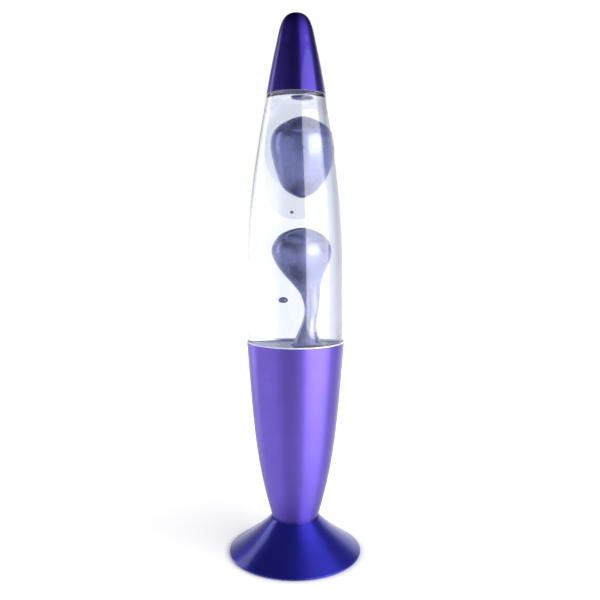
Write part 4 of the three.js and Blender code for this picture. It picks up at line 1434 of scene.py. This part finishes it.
class LAMP_OT_bulb(bpy.types.Operator):
    """Makes the reflector bulb"""
    bl_idname = "lamp.bulb"
    bl_label = "Bulb"

    def execute(self, context):
        # soft solder: dull grey, a little lumpy
        solder = grained("soft_solder", "94969a", "a9abae", 0.8, 5, (0.38, 0.54), 0.05,
                         metallic=1.0)
        # vitrite, the black glass fused into the cap: shiny
        vitrite = grained("black_vitrite_glass", "101013", "17171b", 1.5, 9, (0.08, 0.18), 0.01,
                          ior=1.6)
        # nickel-plated brass, rolled: bright and slightly warm
        nickel = grained("nickel_plated_brass", "aba89f", "cdccc6", 1.0, 6, (0.13, 0.29), 0.02,
                         metallic=1.0)
        # glass silvered on its inside: a mirror seen through glass
        silvered = grained("silvered_glass", "c9ced3", "e2e6ea", 14, 14, (0.1, 0.2), 0.05,
                           metallic=1.0, coat_weight=1.0, coat_roughness=0.03)
        # glass etched by acid on its inside: pale, scatters light
        frosted = grained("acid_frosted_glass", "dfe2e5", "f3f4f5", 0.7, 3, (0.35, 0.5), 0.02,
                          ior=1.5, transmission_weight=0.45)
        lead_glass = clear_solid("pressed_lead_glass", opaque("f2f6f4"), 1.54, 6, 0.03)
        # tungsten wire, drawn: dark grey metal
        tungsten = grained("drawn_tungsten", "606165", "77787c", 0.5, 3, (0.33, 0.49), 0.02,
                           metallic=1.0)
        piece("bulb_tip_solder", bulb_contact_mesh(), "bulb_tip", "solder", solder,
              "bulb_contact")
        piece("bulb_black_glass", bulb_insulator_mesh(), "bulb_tip", "black_glass", vitrite,
              "bulb_insulator")
        piece("bulb_thread", bulb_cap_mesh(), "bulb", "bulb_cap_metal", nickel,
              "bulb_screw_cap")
        piece("bulb_envelope", bulb_glass_mesh(), "bulb", "bulb_envelope",
              [silvered, frosted], "bulb_glass")
        piece("bulb_mount", stem_mesh(), "bulb", "stem_glass", lead_glass, "bulb_stem")
        piece("bulb_wire", filament_mesh(), "bulb", "filament", tungsten, "bulb_filament")
        return {"FINISHED"}


# Soft lights: name, place, aim, width and height in metres, watts, seen in gloss or not.
LIGHTS = (
    ("softbox", (0.737, -0.516, 0.42), (0, 0, 0.26), (1.08, 1.05), 13, True),
    ("strip", (-0.90, 0.478, 0.45), (0, 0, 0.33), (0.28, 0.9), 1.7, True),
    ("overhead", (0, 0, 2.4), (0, 0, 0), (2.4, 2.4), 22, False),
)
CAMERA_PLACE = (0.0033, -0.5359, 0.2534)    # metres
CAMERA_LENS = 42.77                         # millimetres
CAMERA_SENSOR = 36                          # millimetres
CAMERA_DOWN, CAMERA_ROLL = 6.03, 0.16       # degrees
FLOOR_RADIUS = 6000                         # millimetres
WALLS_RUN = (-0.17, -0.985, 0)              # way along which the walls change in brightness
# Brightness of the walls from behind the lamp to behind the camera.
WALLS = ((0.06, 1.0), (0.15, 0.5), (0.25, 0.45), (0.46, 0.6), (0.58, 0.95), (0.88, 1.0),
         (0.985, 0.3))
# Colour of the room from level to straight up.
CEILING = ((0.26, 1.0), (0.4, (0.18, 0.19, 0.26)), (0.65, (0.02, 0.02, 0.035)))


class LAMP_OT_stage(bpy.types.Operator):
    """Makes the pale floor, the soft studio light and the camera"""
    bl_idname = "lamp.stage"
    bl_label = "Studio"

    def execute(self, context):
        scene = context.scene
        edge = FLOOR_RADIUS - 1
        floor = placed("floor", turned("floor", [(0, -2), (edge, -2), (FLOOR_RADIUS, -1),
                                                 (edge, 0), (0, 0)], 96))
        # painted board, gloss: white, with a soft reflection of what stands on it
        floor.data.materials.append(
            material("white_gloss_board", {"Base Color": (0.86, 0.86, 0.87, 1), "IOR": 1.45,
                                           "Emission Color": (1, 1, 1, 1)}, self.board))
        for settings in LIGHTS:
            self.light(*settings)
        self.surroundings(scene)
        self.camera(scene)
        return {"FINISHED"}

    def board(self, tree):
        """Glow and gloss of the floor. It glows more away from the lamp, where the lights reach
        it less, and like the walls it is darker to the sides of what the camera sees. Under the
        foot and in a ring just round its hem the glow is cut: a painted contact shadow."""
        spot = add(tree, "ShaderNodeTexCoord", None, "Object")
        away = add(tree, "ShaderNodeVectorMath", {0: spot}, "Value", operation="LENGTH")
        way = add(tree, "ShaderNodeVectorMath", {0: spot}, operation="NORMALIZE")
        near = {0: away, 1: 0.05, 2: 1.2}
        dim = add(tree, "ShaderNodeMapRange", {**near, 3: 0.4, 4: 0.62})
        dim = add(tree, "ShaderNodeMath", {0: self.round_walls(tree, way), 1: dim},
                  operation="MULTIPLY")
        bright = add(tree, "ShaderNodeMapRange", {**near, 3: 0.46, 4: 0.95})
        seen = add(tree, "ShaderNodeLightPath", None, "Is Camera Ray")
        glow = add(tree, "ShaderNodeMix", {0: seen, 2: dim, 3: bright})
        # painted contact shadow: no glow out to 49 mm from the axis, full glow from 56 mm, so the
        # floor is dark under the foot and just round its hem
        clear = add(tree, "ShaderNodeMapRange", {0: away, 1: 0.049, 2: 0.056})
        blot = add(tree, "ShaderNodeTexNoise", {"Vector": spot, "Scale": 1 / 0.06,
                                                "Detail": 3.0})
        return {
            "Emission Strength": add(tree, "ShaderNodeMath", {0: glow, 1: clear},
                                     operation="MULTIPLY"),
            "Roughness": add(tree, "ShaderNodeMapRange", {0: blot, 1: 0.3, 2: 0.7,
                                                          3: 0.12, 4: 0.16}),
        }

    def light(self, name, place_at, aim, measures, watts, in_gloss):
        """A soft rectangular light."""
        lamp = bpy.data.lights.new(name, "AREA")
        lamp.shape, lamp.energy = "RECTANGLE", watts
        lamp.size, lamp.size_y = measures
        held = placed(name, lamp)
        held.location = place_at
        held.rotation_euler = (Vector(place_at) - Vector(aim)).to_track_quat("Z", "Y").to_euler()
        held.visible_camera, held.visible_glossy = False, in_gloss

    def surroundings(self, scene):
        """White walls all round that end in a dark ceiling."""
        world = bpy.data.worlds.new("studio")
        world.use_nodes = True
        tree = world.node_tree
        tree.nodes.clear()
        way = add(tree, "ShaderNodeTexCoord", None, "Generated")
        rise = add(tree, "ShaderNodeSeparateXYZ", {0: way}, "Z")
        light = add(tree, "ShaderNodeValToRGB", {0: rise}, stops=CEILING)
        seen = add(tree, "ShaderNodeLightPath", None, "Is Camera Ray")
        walls = add(tree, "ShaderNodeMath", {0: self.round_walls(tree, way), 1: seen},
                    operation="MAXIMUM")
        light = add(tree, "ShaderNodeMix", {0: seen, 6: light, 7: (1, 1, 1, 1)}, 2,
                    data_type="RGBA")
        back = add(tree, "ShaderNodeBackground", {"Color": light, "Strength": walls})
        add(tree, "ShaderNodeOutputWorld", {"Surface": back})
        scene.world = world

    def round_walls(self, tree, way):
        """Brightness of the room in a direction, from straight behind the lamp to behind the
        camera, with a dark gap there and darker sides."""
        facing = add(tree, "ShaderNodeVectorMath", {0: way, 1: WALLS_RUN}, "Value",
                     operation="DOT_PRODUCT")
        turn = add(tree, "ShaderNodeMapRange", {0: facing, 1: -1})
        return add(tree, "ShaderNodeValToRGB", {0: turn}, stops=WALLS)

    def camera(self, scene):
        """A camera a little over half a metre away, level with the bottle."""
        data = bpy.data.cameras.new("camera")
        data.lens, data.sensor_width, data.clip_start = CAMERA_LENS, CAMERA_SENSOR, 0.01
        held = placed("camera", data)
        held.matrix_world = (Matrix.Translation(CAMERA_PLACE)
                             @ Matrix.Rotation(math.radians(90 - CAMERA_DOWN), 4, "X")
                             @ Matrix.Rotation(math.radians(CAMERA_ROLL), 4, "Z"))
        scene.camera = held
        scene.view_settings.view_transform = "Standard"


OPERATORS = (LAMP_OT_stage, LAMP_OT_foot, LAMP_OT_cup, LAMP_OT_bottle, LAMP_OT_wax,
             LAMP_OT_closure, LAMP_OT_cap, LAMP_OT_clamp, LAMP_OT_holder, LAMP_OT_bulb)


class LAMP_PT_panel(bpy.types.Panel):
    """Lists the lamp's sizes, colours and pieces"""
    bl_idname = "LAMP_PT_panel"
    bl_label = "Lava Lamp"
    bl_space_type = "VIEW_3D"
    bl_region_type = "UI"
    bl_category = "Lamp"

    def draw(self, context):
        for settings in (context.scene.lamp_sizes, context.scene.lamp_colours):
            column = self.layout.column(align=True)
            for name in settings.__annotations__:
                column.prop(settings, name)
        column = self.layout.column(align=True)
        for operator in OPERATORS:
            column.operator(operator.bl_idname)


CLASSES = (LampSizes, LampColours, *OPERATORS, LAMP_PT_panel)


def register():
    for cls in CLASSES:
        bpy.utils.register_class(cls)
    bpy.types.Scene.lamp_sizes = bpy.props.PointerProperty(type=LampSizes)
    bpy.types.Scene.lamp_colours = bpy.props.PointerProperty(type=LampColours)


def unregister():
    del bpy.types.Scene.lamp_colours
    del bpy.types.Scene.lamp_sizes
    for cls in reversed(CLASSES):
        bpy.utils.unregister_class(cls)


def main():
    register()
    for operator in OPERATORS:
        group, name = operator.bl_idname.split(".")
        getattr(getattr(bpy.ops, group), name)()


if __name__ == "__main__":
    main()
